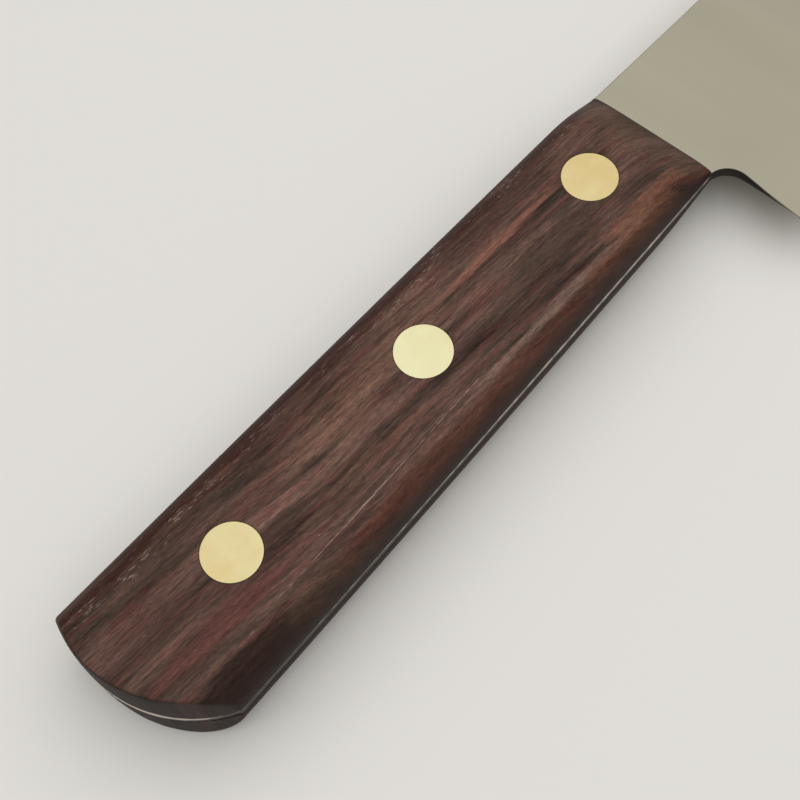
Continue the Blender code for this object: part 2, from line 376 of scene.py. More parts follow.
def grinding_numbers(x, y):
    """along, down, bevel and flatness of the point (x, y) of the blank."""
    along = max(0.0, (x - WOOD_FRONT) / (TIP_X - WOOD_FRONT))
    if x <= WOOD_FRONT:
        return along, 0.0, 0.0, 1.0
    height = top_y(x) - edge_y(x)
    bevel_height = min(BEVEL_HEIGHT, height / 4)
    above = y - edge_y(x)
    down = min(1.0, (top_y(x) - y) / (height - bevel_height))
    bevel = min(max(1 - above / bevel_height, 0.0), 1.0)
    from_wood = 1 - smooth_step((x - WOOD_FRONT) / GRIND_BLEND_LENGTH)
    below_tang = 1 - smooth_step((-FRONT_HEIGHT / 2 - y) / GRIND_BLEND_DEPTH)
    return along, max(down, 0.0), bevel, from_wood * below_tang


def steel_blank(columns):
    """The flat blank as a bmesh, with its grinding numbers in float layers."""
    bm = bmesh.new()
    names = ("along", "down", "bevel", "flatness", "eased")
    layers = {name: bm.verts.layers.float.new(name) for name in names}
    crease = bm.edges.layers.int.new("crease_line")
    rim = walk_round(columns)
    outline = [Vector(columns[k][j]) for k, j in rim]
    steps = inward(outline)
    low = len(columns[0]) - 1
    last = len(columns) - 1
    heel = TANG_COLUMNS + ARC_COLUMNS + HEEL_COLUMNS + 1
    reach = []
    for (k, j), point, step in zip(rim, outline, steps):
        near = [(k, min(j + 1, low)), (k, max(j - 1, 0)), (min(k + 1, last), j), (max(k - 1, 0), j)]
        gaps = [(Vector(columns[a][b]) - point).length for a, b in near if (a, b) != (k, j)]
        reach.append(min(EASE, min(gaps) * SHARE_OF_GAP))
    grid = [[bm.verts.new((x, y, 0)) for x, y in column] for column in columns]
    for (k, j), point, step, ease in zip(rim, outline, steps, reach):
        grid[k][j].co.xy = point + step * ease * HOLD
    for k in range(last):
        for j in range(low):
            bm.faces.new((grid[k][j], grid[k + 1][j], grid[k + 1][j + 1], grid[k][j + 1]))
        if k >= heel:
            bm.edges.get((grid[k][low - 1], grid[k + 1][low - 1]))[crease] = 1
    inner = [grid[k][j] for k, j in rim]
    for ring in range(EASE_RINGS, -1, -1):
        turn = math.pi / 2 * ring / EASE_RINGS
        verts = []
        for (k, j), point, step, ease in zip(rim, outline, steps, reach):
            vert = bm.verts.new((*(point + step * ease * (1 - math.cos(turn))), 0))
            on_edge = j == low and k >= heel
            vert[layers["eased"]] = 0.0 if on_edge else ease * (1 - math.sin(turn))
            verts.append(vert)
        for i in range(len(rim)):
            bm.faces.new((inner[i - 1], verts[i - 1], verts[i], inner[i]))
        inner = verts
    for vert in bm.verts:
        for name, value in zip(names, grinding_numbers(vert.co.x, vert.co.y)):
            vert[layers[name]] = value
    bmesh.ops.recalc_face_normals(bm, faces=bm.faces)
    if next(iter(bm.faces)).normal.z < 0:
        bmesh.ops.reverse_faces(bm, faces=bm.faces)
    return bm


# %% [markdown]
# The grinding itself is a rule that holds for every point of the blank, so it is a Geometry
# Nodes tree with the maker's sizes as its inputs: turn a number, and the whole blade follows. It
# doubles the blank into a front and a back joined by a wall, then moves each point out to half
# the thickness that the steel has there. Realize Instances and Set Material close the tree, so
# that what comes out is one plain mesh with its finish.

# %% The grinding tree
def grinding_tree():
    """Thickness from taper, grind, bevel and eased rim."""
    tree = bpy.data.node_groups.new("grind_steel", "GeometryNodeTree")
    tree.interface.new_socket("Geometry", in_out="INPUT", socket_type="NodeSocketGeometry")
    sizes = ("Tang Thickness", "Tip Thickness", "Shoulder Thickness", "Edge Thickness")
    for name in (*sizes, "Taper Power", "Grind Power"):
        tree.interface.new_socket(name, in_out="INPUT", socket_type="NodeSocketFloat")
    tree.interface.new_socket("Material", in_out="INPUT", socket_type="NodeSocketMaterial")
    tree.interface.new_socket("Geometry", in_out="OUTPUT", socket_type="NodeSocketGeometry")
    given = add(tree, "NodeGroupInput").outputs
    number = {}
    for name in ("along", "down", "bevel", "flatness", "eased"):
        number[name] = add(tree, "GeometryNodeInputNamedAttribute", {"Name": name}, data_type="FLOAT")
    half = {}
    for name in sizes:
        half[name] = add(tree, "ShaderNodeMath", {0: given[name], 1: 0.5}, operation="MULTIPLY")
    taper = add(tree, "ShaderNodeMath", {0: number["along"], 1: given["Taper Power"]}, operation="POWER")
    spine = add(tree, "ShaderNodeMix",
                {"Factor": taper, "A": half["Tang Thickness"], "B": half["Tip Thickness"]})
    hollow = add(tree, "ShaderNodeMath", {0: number["down"], 1: given["Grind Power"]}, operation="POWER")
    ground = add(tree, "ShaderNodeMix",
                 {"Factor": hollow, "A": spine, "B": half["Shoulder Thickness"]})
    face = add(tree, "ShaderNodeMix",
               {"Factor": number["flatness"], "A": ground, "B": half["Tang Thickness"]})
    keen = add(tree, "ShaderNodeMix", {"Factor": number["bevel"], "A": face, "B": half["Edge Thickness"]})
    depth = add(tree, "ShaderNodeMath", {0: keen, 1: number["eased"]}, operation="SUBTRACT")
    raised = add(tree, "GeometryNodeExtrudeMesh",
                 {"Mesh": given["Geometry"], "Offset": (0, 0, 1), "Offset Scale": MM,
                  "Individual": False})
    walled = add(tree, "GeometryNodeStoreNamedAttribute",
                 {"Geometry": raised.outputs["Mesh"], "Selection": raised.outputs["Side"],
                  "Name": "rim", "Value": 1.0},
                 data_type="FLOAT", domain="FACE")
    back = add(tree, "GeometryNodeFlipFaces", {"Mesh": given["Geometry"]})
    joined = add(tree, "GeometryNodeJoinGeometry")
    tree.links.new(walled.outputs["Geometry"], joined.inputs[0])
    tree.links.new(back.outputs["Mesh"], joined.inputs[0])
    body = add(tree, "GeometryNodeMergeByDistance", {"Geometry": joined, "Distance": MM / 1000})
    place = add(tree, "ShaderNodeSeparateXYZ", {0: add(tree, "GeometryNodeInputPosition")})
    front = add(tree, "ShaderNodeMath", {0: place.outputs["Z"], 1: MM / 2}, operation="GREATER_THAN")
    side = add(tree, "ShaderNodeMath", {0: front, 1: 2.0, 2: -1.0}, operation="MULTIPLY_ADD")
    lift = add(tree, "ShaderNodeMath", {0: side, 1: depth}, operation="MULTIPLY")
    target = add(tree, "ShaderNodeCombineXYZ",
                 {"X": place.outputs["X"], "Y": place.outputs["Y"], "Z": lift})
    moved = add(tree, "GeometryNodeSetPosition", {"Geometry": body, "Position": target})
    real = add(tree, "GeometryNodeRealizeInstances", {"Geometry": moved})
    painted = add(tree, "GeometryNodeSetMaterial", {"Geometry": real, "Material": given["Material"]})
    add(tree, "NodeGroupOutput", {"Geometry": painted})
    return tree


grind_steel = grinding_tree()
print("grinding tree:", len(grind_steel.nodes), "nodes")

# %% [markdown]
# The blade and tang are stainless steel, ground and then brushed from spine to edge on a belt.
# That gives the eye a satin metal: no picture of the room, but a soft even grey that turns warm
# or cool with the light. It could be made with an anisotropic shader, but a bump and a roughness
# that run in hairlines do the same and are kept by every exporter. The real scratches are a few
# hundredths of a millimetre wide, too fine to show, so the hairlines are drawn 0.14 mm wide.
# Every pattern reads Object coordinates, turned to millimetres, so its scale is a real size.

# %% Millimetres in a shader
def millimetres(tree, stretch=(1, 1, 1), turn=0.0, shift=(0, 0, 0)):
    """Object coordinates in millimetres from the middle rivet, each axis divided by a length."""
    position = add(tree, "ShaderNodeTexCoord").outputs["Object"]
    centred = add(tree, "ShaderNodeVectorMath", {0: position, 1: origin}, operation="SUBTRACT")
    scale = [1 / (MM * length) for length in stretch]
    turned = add(tree, "ShaderNodeMapping", {"Vector": centred, "Rotation": (0, 0, turn)})
    return add(tree, "ShaderNodeMapping", {"Vector": turned, "Scale": scale, "Location": shift})


# %% [markdown]
# The tang shows between the scales as a narrow wall, and it looks quite unlike the blade. The wall
# and its corners are painted dark, as painted shade, and a painted glint runs along the middle of
# the wall in a thin and broken line. The glint is brightest between the middle and the front rivet
# and fades to both sides. It is bright again at the butt's end, and it fades out at the choil,
# which stays dark.

# %% The wall of the tang
# Painted shade for the wall and its corners, and a painted glint along it.
WALL_SHADE_COLOUR = "#33302c"
WALL_GLINT_COLOUR = "#d2c6ba"
LINE_HEIGHT = TANG_HALF / MM - 0.8
GLINT_SIZE = (1.6, 4, 4)
GLINT_STRENGTH = 0.75
BRIGHTEST_GLINT_X = 24.0
GLINT_FADE_REACH = (10.0, 70.0)
GLINT_FADE = 0.35
END_GLINT_X = (-50.0, -56.0)
END_GLINT_STRENGTH = 0.7
CHOIL_START_X = (WOOD_FRONT / MM - 1, WOOD_FRONT / MM + 2)
GLINT_FROM = -0.1
GLINT_TO = 0.3


def wall_shade_and_glint(tree):
    """Painted shade on the steel, with a painted glint in a broken line along the middle of the wall."""
    here = add(tree, "ShaderNodeSeparateXYZ", {0: millimetres(tree)})
    off_line = add(tree, "ShaderNodeMath", {0: here.outputs["Z"], 1: LINE_HEIGHT}, operation="SUBTRACT")
    off_line = add(tree, "ShaderNodeMath", {0: off_line}, operation="ABSOLUTE")
    glint = add(tree, "ShaderNodeTexNoise",
                {"Vector": millimetres(tree, GLINT_SIZE), "Scale": 1.0, "Detail": 3.0})
    # The painted glint is brightest at one place along the handle and fades to both sides. It is bright
    # again at the butt's end, and it fades out at the choil.
    off_brightest_glint = add(tree, "ShaderNodeMath", {0: here.outputs["X"], 1: BRIGHTEST_GLINT_X}, operation="SUBTRACT")
    off_brightest_glint = add(tree, "ShaderNodeMath", {0: off_brightest_glint}, operation="ABSOLUTE")
    glint_fade = add(tree, "ShaderNodeMapRange",
                 {"Value": off_brightest_glint, "From Min": GLINT_FADE_REACH[0], "From Max": GLINT_FADE_REACH[1],
                  "To Min": 0.0, "To Max": GLINT_FADE})
    end_glint = add(tree, "ShaderNodeMapRange",
                   {"Value": here.outputs["X"], "From Min": END_GLINT_X[0], "From Max": END_GLINT_X[1],
                    "To Min": 0.0, "To Max": END_GLINT_STRENGTH})
    in_choil = add(tree, "ShaderNodeMapRange",
                   {"Value": here.outputs["X"],
                    "From Min": CHOIL_START_X[0], "From Max": CHOIL_START_X[1]})
    bright = add(tree, "ShaderNodeMath", {0: glint.outputs[0], 1: GLINT_STRENGTH}, operation="MULTIPLY")
    for less in (off_line, glint_fade, in_choil):
        bright = add(tree, "ShaderNodeMath", {0: bright, 1: less}, operation="SUBTRACT")
    bright = add(tree, "ShaderNodeMath", {0: bright, 1: end_glint}, operation="ADD")
    painted_line = add(tree, "ShaderNodeMapRange",
                 {"Value": bright, "From Min": GLINT_FROM, "From Max": GLINT_TO})
    return add(tree, "ShaderNodeMix",
               {0: painted_line, 6: linear(WALL_SHADE_COLOUR), 7: linear(WALL_GLINT_COLOUR)}, data_type="RGBA").outputs[2]


# %% [markdown]
# The finished steel takes that painted shade and glint where the mesh says rim, and on the eased
# corner of the tang beside it. The bevel, which was honed on a finer stone, is smoother than the
# face. The mesh carries all three places as attributes, so they follow the shape exactly. Slow
# smears across the blade keep so wide a face from looking like plastic.

# %% Satin stainless steel
STEEL_COLOUR = "#b5af9b"
STEEL_SHADE = "#a9a48f"
SMEAR_SIZE = (7, 90, 60)
HAIRLINE_SIZE = (0.14, 50, 50)
HAIRLINE_DEPTH = 0.006 * MM
SATIN_ROUGHNESS = (0.29, 0.35)
HONED_ROUGHNESS = 0.2
WALL_ROUGHNESS = 0.5
CORNER_SHARE = 3


def satin_steel():
    """Satin stainless steel: a soft grey face, a keener bevel and the tang's wall with painted shade and
    glint.
    """
    material, tree = new_material("satin_stainless_steel")
    hairline = add(tree, "ShaderNodeTexNoise",
                   {"Vector": millimetres(tree, HAIRLINE_SIZE), "Scale": 1.0, "Detail": 2.0})
    smear = add(tree, "ShaderNodeTexNoise",
                {"Vector": millimetres(tree, SMEAR_SIZE), "Scale": 1.0, "Detail": 4.0})
    face = add(tree, "ShaderNodeMix",
               {0: smear.outputs[0], 6: linear(STEEL_SHADE), 7: linear(STEEL_COLOUR)},
               data_type="RGBA")
    mark = {}
    for name in ("bevel", "rim", "eased", "flatness"):
        mark[name] = add(tree, "ShaderNodeAttribute", attribute_name=name).outputs["Fac"]
    # The wall and the eased corner of the tang take the painted shade and glint.
    corner = add(tree, "ShaderNodeMath", {0: mark["eased"], 1: mark["flatness"]}, operation="MULTIPLY")
    corner = add(tree, "ShaderNodeMath", {0: corner, 1: CORNER_SHARE / EASE, 2: mark["rim"]},
                 operation="MULTIPLY_ADD", use_clamp=True)
    colour = add(tree, "ShaderNodeMix",
                 {0: corner, 6: face.outputs[2], 7: wall_shade_and_glint(tree)}, data_type="RGBA")
    satin = add(tree, "ShaderNodeMapRange",
                {"Value": hairline.outputs[0], "From Min": 0.3, "From Max": 0.7,
                 "To Min": SATIN_ROUGHNESS[0], "To Max": SATIN_ROUGHNESS[1]})
    honed = add(tree, "ShaderNodeMix", {0: mark["bevel"], 2: satin, 3: HONED_ROUGHNESS})
    rough = add(tree, "ShaderNodeMix", {0: mark["rim"], 2: honed, 3: WALL_ROUGHNESS})
    bump = add(tree, "ShaderNodeBump",
               {"Strength": 0.2, "Distance": HAIRLINE_DEPTH, "Height": hairline.outputs[0]})
    shader = add(tree, "ShaderNodeBsdfPrincipled",
                 {"Base Color": colour.outputs[2], "Metallic": 1.0, "Roughness": rough, "Normal": bump})
    add(tree, "ShaderNodeOutputMaterial", {"Surface": shader})
    return material


steel = satin_steel()
print(steel.name, "has", len(steel.node_tree.nodes), "nodes")

# %% [markdown]
# The scales are rosewood, sanded fine and oiled: dense and dark, with red-brown, grey-brown and
# near-black streaks, fine open pores, and only a dull sheen. A picture of wood wrapped round the
# block would show the same lines on every side. A solid wood has its figure all through it, so
# the pattern here is three-dimensional noise drawn out along the grain: seen from the side it
# gives long streaks, and on the butt the same streaks are cut across.
#
# Grain never runs quite straight. It lies a few degrees off the handle's axis, it wanders slowly,
# and behind the middle rivet it dips once round an old knot. Every pattern of the wood is pushed
# sideways by the same two bends, so that they run together as real grain does.

# %% How the grain runs
GRAIN_TURN = math.radians(4.4)
DRIFT_SIZE = (45, 16, 60)
GRAIN_DIP = 0.85
GRAIN_DIP_PLACE = -22
GRAIN_DIP_LENGTH = 11


def grain_bends(tree):
    """The slow wander of the grain, and its one dip as a bell curve along the handle."""
    drift = add(tree, "ShaderNodeTexNoise",
                {"Vector": millimetres(tree, DRIFT_SIZE), "Scale": 1.0, "Detail": 1.0})
    bend = add(tree, "ShaderNodeVectorMath", {0: drift.outputs["Color"], 1: (0.5, 0.5, 0.5)},
               operation="SUBTRACT")
    shift = (-GRAIN_DIP_PLACE / GRAIN_DIP_LENGTH, 0, 0)
    place = millimetres(tree, (GRAIN_DIP_LENGTH, 1, 1), 0.0, shift)
    dip = add(tree, "ShaderNodeSeparateXYZ", {0: place})
    dip = add(tree, "ShaderNodeMath", {0: dip.outputs["X"], 1: 2.0}, operation="POWER")
    dip = add(tree, "ShaderNodeMath", {0: dip, 1: -1.0}, operation="MULTIPLY")
    return bend, add(tree, "ShaderNodeMath", {0: dip}, operation="EXPONENT")


def along_grain(tree, bends, length, width, depth, wander, shift):
    """Noise drawn out along the grain, which drifts sideways by some millimetres."""
    bend, dip = bends
    place = millimetres(tree, (length, width, depth), GRAIN_TURN, shift)
    curved = add(tree, "ShaderNodeVectorMath",
                 {0: dip, 1: (0, GRAIN_DIP / width, 0), 2: place}, operation="MULTIPLY_ADD")
    push = add(tree, "ShaderNodeVectorMath",
               {0: bend, 1: (0, wander / width, 0), 2: curved}, operation="MULTIPLY_ADD")
    return add(tree, "ShaderNodeTexNoise",
               {"Vector": push, "Scale": 1.0, "Detail": 3.0, "Roughness": 0.6})


# %% [markdown]
# The colour is built up as a dyer would do it, from wide to narrow, so one function stains what
# is below it with the next colour, more and more as a pattern rises. First a slow figure and
# narrower bands set how dark the wood is, and a hue pattern stains it red in some places and
# grey in others. Real fibres are 0.02 mm wide and pores about 0.1 mm, which would not show, so
# the narrowest pattern is drawn 0.16 mm wide and the pores 0.3 mm.

# %% The ground colour of the wood
WOOD_DARK = "#2a1d18"
WOOD_LIGHT = "#8a685b"
WOOD_RED = "#693834"
WOOD_GREY = "#352f25"
MEAN_TONE = 0.32
FIGURE_WEIGHT = 1.9
BANDS_WEIGHT = 0.55

# Length, width and depth of each pattern in mm, how far it drifts in mm, and where it starts.
PATTERNS = {
    "figure": (40, 3.6, 16, 3, (3.1, 0.4, 2.2)),
    "bands": (9, 1.0, 12, 2, (9.3, 5.1, 1.7)),
    "lines": (5, 0.34, 6, 2, (1.3, 7.9, 4.4)),
    "fibre": (0.9, 0.16, 0.3, 1, (0, 0, 0)),
    "hue": (10, 0.9, 9, 2, (5.5, 2.2, 8.1)),
    "fleck": (1.3, 0.17, 0.17, 1, (6.1, 3.3, 2.7)),
}


def stain(tree, below, colour, pattern, start, full, amount):
    """Stain what is below with a colour, more and more as the pattern goes from start to full."""
    how_much = add(tree, "ShaderNodeMapRange",
                   {"Value": pattern, "From Min": start, "From Max": full, "To Max": amount},
                   interpolation_type="SMOOTHSTEP")
    return add(tree, "ShaderNodeMix", {0: how_much, 6: below, 7: linear(colour)},
               data_type="RGBA").outputs[2]


def ground_colour(tree, grain):
    """Dark to light wood, stained red and grey."""
    weights = (("figure", FIGURE_WEIGHT), ("bands", BANDS_WEIGHT))
    tone = MEAN_TONE - sum(weight for name, weight in weights) / 2
    for name, weight in weights:
        tone = add(tree, "ShaderNodeMath", {0: grain[name], 1: weight, 2: tone},
                   operation="MULTIPLY_ADD")
    colour = add(tree, "ShaderNodeMix",
                 {0: tone, 6: linear(WOOD_DARK), 7: linear(WOOD_LIGHT)}, data_type="RGBA").outputs[2]
    colour = stain(tree, colour, WOOD_RED, grain["hue"], 0.48, 0.68, 0.42)
    return stain(tree, colour, WOOD_GREY, grain["hue"], 0.52, 0.32, 0.6)


# %% [markdown]
# No two pieces of rosewood are alike. Noise gives the kind of figure, but not the few streaks
# that the eye finds first and knows the piece by, so those are listed one by one. Each is a long
# oval stain, and the bands of the ground colour fray its edge. One pale streak along the lower
# crest is a painted highlight. The last ones are wide: both long sides of a scale are painted
# darker and redder, as painted shade where they turn away from the light.

# %% Streaks laid one by one
CREST_HIGHLIGHT = "#94776a"
TAN = "#81604f"
WARM_TAN = "#895e49"
RUST = "#93604d"
BROWN = "#5c4a3d"
UMBER = "#40332b"
BLACK = "#2b1e19"
SPINE_SIDE_SHADE = "#331712"
STREAK_FRAY = 1.6
STREAK_EDGE = (-0.2, 0.35)

# The middle's x and y and the half length and half width, in mm, then the colour and strength.
STREAKS = (
    # Painted highlight along the lower crest.
    (17, -9.0, 26, 0.9, CREST_HIGHLIGHT, 0.45),
    (24, -3.0, 15, 3.6, UMBER, 0.7),
    (-40, 6.2, 12, 2.4, UMBER, 0.6),
    (-47, 1.0, 10, 4.0, "#4a2f2b", 0.35),
    (-14, 1.0, 8, 3.4, TAN, 0.4),
    (36, -8.8, 12, 2.2, WARM_TAN, 0.55),
    (-46, -11.0, 17, 3.0, BLACK, 0.85),
    (-33, -11.0, 7, 1.6, BROWN, 0.4),
    (-42, -5.4, 16, 2.2, WOOD_RED, 0.45),
    (19, 3.0, 14, 1.0, RUST, 0.5),
    (23, 6.6, 19, 2.7, BLACK, 0.5),
    (-18, -4.9, 15, 2.0, TAN, 0.3),
    (-49, -7.6, 11, 1.8, UMBER, 0.5),
    (-48, 8.4, 12, 2.0, UMBER, 0.35),
    (43, 1.4, 6, 2.4, TAN, 0.35),
    (42, -4.8, 7, 1.8, UMBER, 0.45),
    # Painted shade: the spine side is darker and redder.
    (0, 11.6, 120, 5.0, SPINE_SIDE_SHADE, 0.85),
    # Painted shade: the lower side is darker and redder near the joint.
    (8, -10.7, 46, 1.7, "#5c3526", 0.5),
    (-5, 3.2, 22, 3.2, TAN, 0.4),
    (47, 1.0, 6, 12.0, BROWN, 0.4),
)


def lay_streaks(tree, colour, grain):
    """Stain the wood with each streak in turn."""
    ragged = add(tree, "ShaderNodeMath", {0: grain["bands"], 1: STREAK_FRAY}, operation="MULTIPLY")
    for x, y, length, width, tint, amount in STREAKS:
        place = millimetres(tree, (length, width, 40), 0.0, (-x / length, -y / width, 0))
        away = add(tree, "ShaderNodeVectorMath", {0: place}, operation="LENGTH").outputs["Value"]
        inside = add(tree, "ShaderNodeMath", {0: ragged, 1: away}, operation="SUBTRACT")
        colour = stain(tree, colour, tint, inside, *STREAK_EDGE, amount)
    return colour


print(len(STREAKS), "streaks laid by hand")

# %% [markdown]
# The finest grain comes last, on top of every stain, because it is there in all of them. It
# scales the colour up and down instead of painting another one, as light does in the furrows of
# real fibres. Pores are short dark dashes. Pale specks sit in them in clusters, mostly along the
# upper ridge.

# %% Fibres, pores and pale specks
PORE_SIZE = (3.0, 0.3, 0.3)
PORE_COLOUR = "#1f1513"
PALE_SPECK_COLOUR = "#b9a79d"
SPECK_CLUSTER = (6, 1.6, 4)
SPECK_RIDGE_Y = 8.4
SPECK_RIDGE_REACH = (0.6, 2.4)
SPECK_OFF_RIDGE = 0.11
LINES_WEIGHT = 0.9
FIBRE_WEIGHT = 1.1
GRAIN_POWER = 1.55


def fine_grain(tree, colour, grain):
    """Scale the colour by lines and fibres."""
    gain = add(tree, "ShaderNodeMath", {0: grain["lines"], 1: LINES_WEIGHT}, operation="MULTIPLY")
    gain = add(tree, "ShaderNodeMath", {0: grain["fibre"], 1: FIBRE_WEIGHT, 2: gain},
               operation="MULTIPLY_ADD")
    gain = add(tree, "ShaderNodeMath", {0: gain, 1: GRAIN_POWER}, operation="POWER")
    return add(tree, "ShaderNodeVectorMath", {0: colour, 3: gain}, operation="SCALE").outputs[0]


def pale_specks(tree, colour, grain):
    """Pale specks in clusters along the upper ridge."""
    cluster = add(tree, "ShaderNodeTexNoise",
                  {"Vector": millimetres(tree, SPECK_CLUSTER), "Scale": 1.0, "Detail": 2.0})
    height = add(tree, "ShaderNodeSeparateXYZ", {0: millimetres(tree)}).outputs["Y"]
    off_ridge = add(tree, "ShaderNodeMath", {0: height, 1: SPECK_RIDGE_Y}, operation="SUBTRACT")
    off_ridge = add(tree, "ShaderNodeMath", {0: off_ridge}, operation="ABSOLUTE")
    scarce = add(tree, "ShaderNodeMapRange",
                 {"Value": off_ridge, "From Min": SPECK_RIDGE_REACH[0], "From Max": SPECK_RIDGE_REACH[1],
                  "To Min": 0.0, "To Max": SPECK_OFF_RIDGE})
    specks = add(tree, "ShaderNodeMath", {0: grain["fleck"], 1: scarce}, operation="SUBTRACT")
    specks = add(tree, "ShaderNodeMath", {0: cluster, 1: 0.4, 2: specks}, operation="MULTIPLY_ADD")
    return stain(tree, colour, PALE_SPECK_COLOUR, specks, 0.8, 0.94, 0.6)


# %% [markdown]
# Last come the painted places. The wood is painted darker down at the joint, as painted shade
# where the sides turn away from the light. The end grain drinks more oil and is darker, and it is
# painted nearly black as painted shade on the butt's end. The lower ridge is painted pale in the
# middle of the grip, partly for wear and partly as a painted highlight. The mesh carries how low
# each point lies and how pale the ridge is painted. Fibres give the roughness and, with the pores,
# a shallow bump.

# %% Oiled rosewood
LOW_SIDE_SHADE_COLOUR = "#220e08"
END_GRAIN_AND_SHADE_COLOUR = "#120a08"
PALE_RIDGE_COLOUR = "#b8a496"
OIL_ROUGHNESS = (0.48, 0.62)
PORE_DEPTH = 0.04 * MM


def rosewood():
    """Oiled rosewood: dark streaks, fine pores and a dull sheen."""
    material, tree = new_material("oiled_rosewood")
    bends = grain_bends(tree)
    grain = {name: along_grain(tree, bends, *sizes) for name, sizes in PATTERNS.items()}
    colour = ground_colour(tree, grain)
    colour = lay_streaks(tree, colour, grain)
    colour = fine_grain(tree, colour, grain)
    pore = add(tree, "ShaderNodeTexVoronoi",
               {"Vector": millimetres(tree, PORE_SIZE, GRAIN_TURN), "Scale": 1.0, "Randomness": 1.0})
    colour = stain(tree, colour, PORE_COLOUR, pore.outputs["Distance"], 0.26, 0.14, 0.3)
    colour = pale_specks(tree, colour, grain)

    # Painted shade: the wood is darker the lower a point lies towards the joint.
    low = add(tree, "ShaderNodeAttribute", attribute_name="low").outputs["Fac"]
    colour = stain(tree, colour, LOW_SIDE_SHADE_COLOUR, low, 0.15, 0.95, 0.88)
    # End grain is darker, and faces turned along the handle are painted nearly black here as painted
    # shade on the butt's end.
    facing = add(tree, "ShaderNodeTexCoord").outputs["Normal"]
    end_grain_and_shade = add(tree, "ShaderNodeSeparateXYZ", {0: facing}).outputs["X"]
    end_grain_and_shade = add(tree, "ShaderNodeMath", {0: end_grain_and_shade}, operation="ABSOLUTE")
    colour = stain(tree, colour, END_GRAIN_AND_SHADE_COLOUR, end_grain_and_shade, 0.62, 0.92, 0.85)
    # A pale line along the lower ridge, most near the middle rivet: partly wear and partly a painted
    # highlight.
    ridge = add(tree, "ShaderNodeAttribute", attribute_name="arris").outputs["Fac"]
    painted_line = add(tree, "ShaderNodeMath", {0: grain["fibre"], 1: 1.2, 2: ridge}, operation="MULTIPLY_ADD")
    painted_line = add(tree, "ShaderNodeMath", {0: grain["bands"], 1: 0.8, 2: painted_line}, operation="MULTIPLY_ADD")
    colour = stain(tree, colour, PALE_RIDGE_COLOUR, painted_line, 1.35, 2.2, 0.6)

    rough = add(tree, "ShaderNodeMapRange",
                {"Value": grain["fibre"], "From Min": 0.3, "From Max": 0.7,
                 "To Min": OIL_ROUGHNESS[0], "To Max": OIL_ROUGHNESS[1]})
    relief = add(tree, "ShaderNodeMath", {0: grain["fibre"], 1: 0.5, 2: pore.outputs["Distance"]},
                 operation="MULTIPLY_ADD")
    bump = add(tree, "ShaderNodeBump", {"Strength": 0.5, "Distance": PORE_DEPTH, "Height": relief})
    shader = add(tree, "ShaderNodeBsdfPrincipled",
                 {"Base Color": colour, "Roughness": rough, "IOR": 1.5, "Specular IOR Level": 0.1,
                  "Normal": bump})
    add(tree, "ShaderNodeOutputMaterial", {"Surface": shader})
    return material


wood = rosewood()
print(wood.name, "has", len(wood.node_tree.nodes), "nodes")

# %% [markdown]
# The rivets are cutlery brass, sanded flush with the wood and never polished after that. That
# gives the eye a pale, soft yellow disc with a broad highlight and no reflection. The sanding
# marks run nearly along the handle. They are 0.02 mm wide at most, so they are drawn 0.09 mm wide.
# The middle head is painted palest, and the outer two a warmer yellow, as a painted reflection.

# %% Sanded brass
BRASS_COLOUR = "#e4cc90"
BRASS_PALE = "#f3eec0"
SCRATCH_SIZE = (5, 0.09, 0.4)
SCRATCH_TURN = math.radians(8)
SCRATCH_DEPTH = 0.006 * MM
CLOUD_SIZE = (2.5, 2.5, 2.5)
CLOUD_WEIGHT = 0.6
PAINTED_REFLECTION_X = -6.0
PAINTED_REFLECTION_REACH = 45.0
REFLECTION_PALENESS = (0.7, -0.3)
SANDED_ROUGHNESS = (0.3, 0.42)


def sanded_brass():
    """Sanded cutlery brass: pale yellow, with a broad soft highlight."""
    material, tree = new_material("sanded_brass")
    scratch = add(tree, "ShaderNodeTexNoise",
                  {"Vector": millimetres(tree, SCRATCH_SIZE, SCRATCH_TURN), "Scale": 1.0, "Detail": 3.0})
    cloud = add(tree, "ShaderNodeTexNoise",
                {"Vector": millimetres(tree, CLOUD_SIZE), "Scale": 1.0, "Detail": 3.0})
    # Painted reflection: a head is paler the nearer it lies to one place along the handle, since each
    # head mirrors another part of the light.
    away = add(tree, "ShaderNodeSeparateXYZ", {0: millimetres(tree)}).outputs["X"]
    away = add(tree, "ShaderNodeMath", {0: away, 1: PAINTED_REFLECTION_X}, operation="SUBTRACT")
    away = add(tree, "ShaderNodeMath", {0: away}, operation="ABSOLUTE")
    paleness = add(tree, "ShaderNodeMapRange",
                   {"Value": away, "From Min": 0.0, "From Max": PAINTED_REFLECTION_REACH,
                    "To Min": REFLECTION_PALENESS[0], "To Max": REFLECTION_PALENESS[1]})
    paleness = add(tree, "ShaderNodeMath", {0: cloud.outputs[0], 1: CLOUD_WEIGHT, 2: paleness},
                   operation="MULTIPLY_ADD")
    colour = add(tree, "ShaderNodeMix",
                 {0: paleness, 6: linear(BRASS_COLOUR), 7: linear(BRASS_PALE)}, data_type="RGBA")
    rough = add(tree, "ShaderNodeMapRange",
                {"Value": scratch.outputs[0], "From Min": 0.3, "From Max": 0.7,
                 "To Min": SANDED_ROUGHNESS[0], "To Max": SANDED_ROUGHNESS[1]})
    bump = add(tree, "ShaderNodeBump",
               {"Strength": 0.4, "Distance": SCRATCH_DEPTH, "Height": scratch.outputs[0]})
    shader = add(tree, "ShaderNodeBsdfPrincipled",
                 {"Base Color": colour.outputs[2], "Metallic": 1.0, "Roughness": rough, "Normal": bump})
    add(tree, "ShaderNodeOutputMaterial", {"Surface": shader})
    return material


brass = sanded_brass()
print(brass.name, "has", len(brass.node_tree.nodes), "nodes")

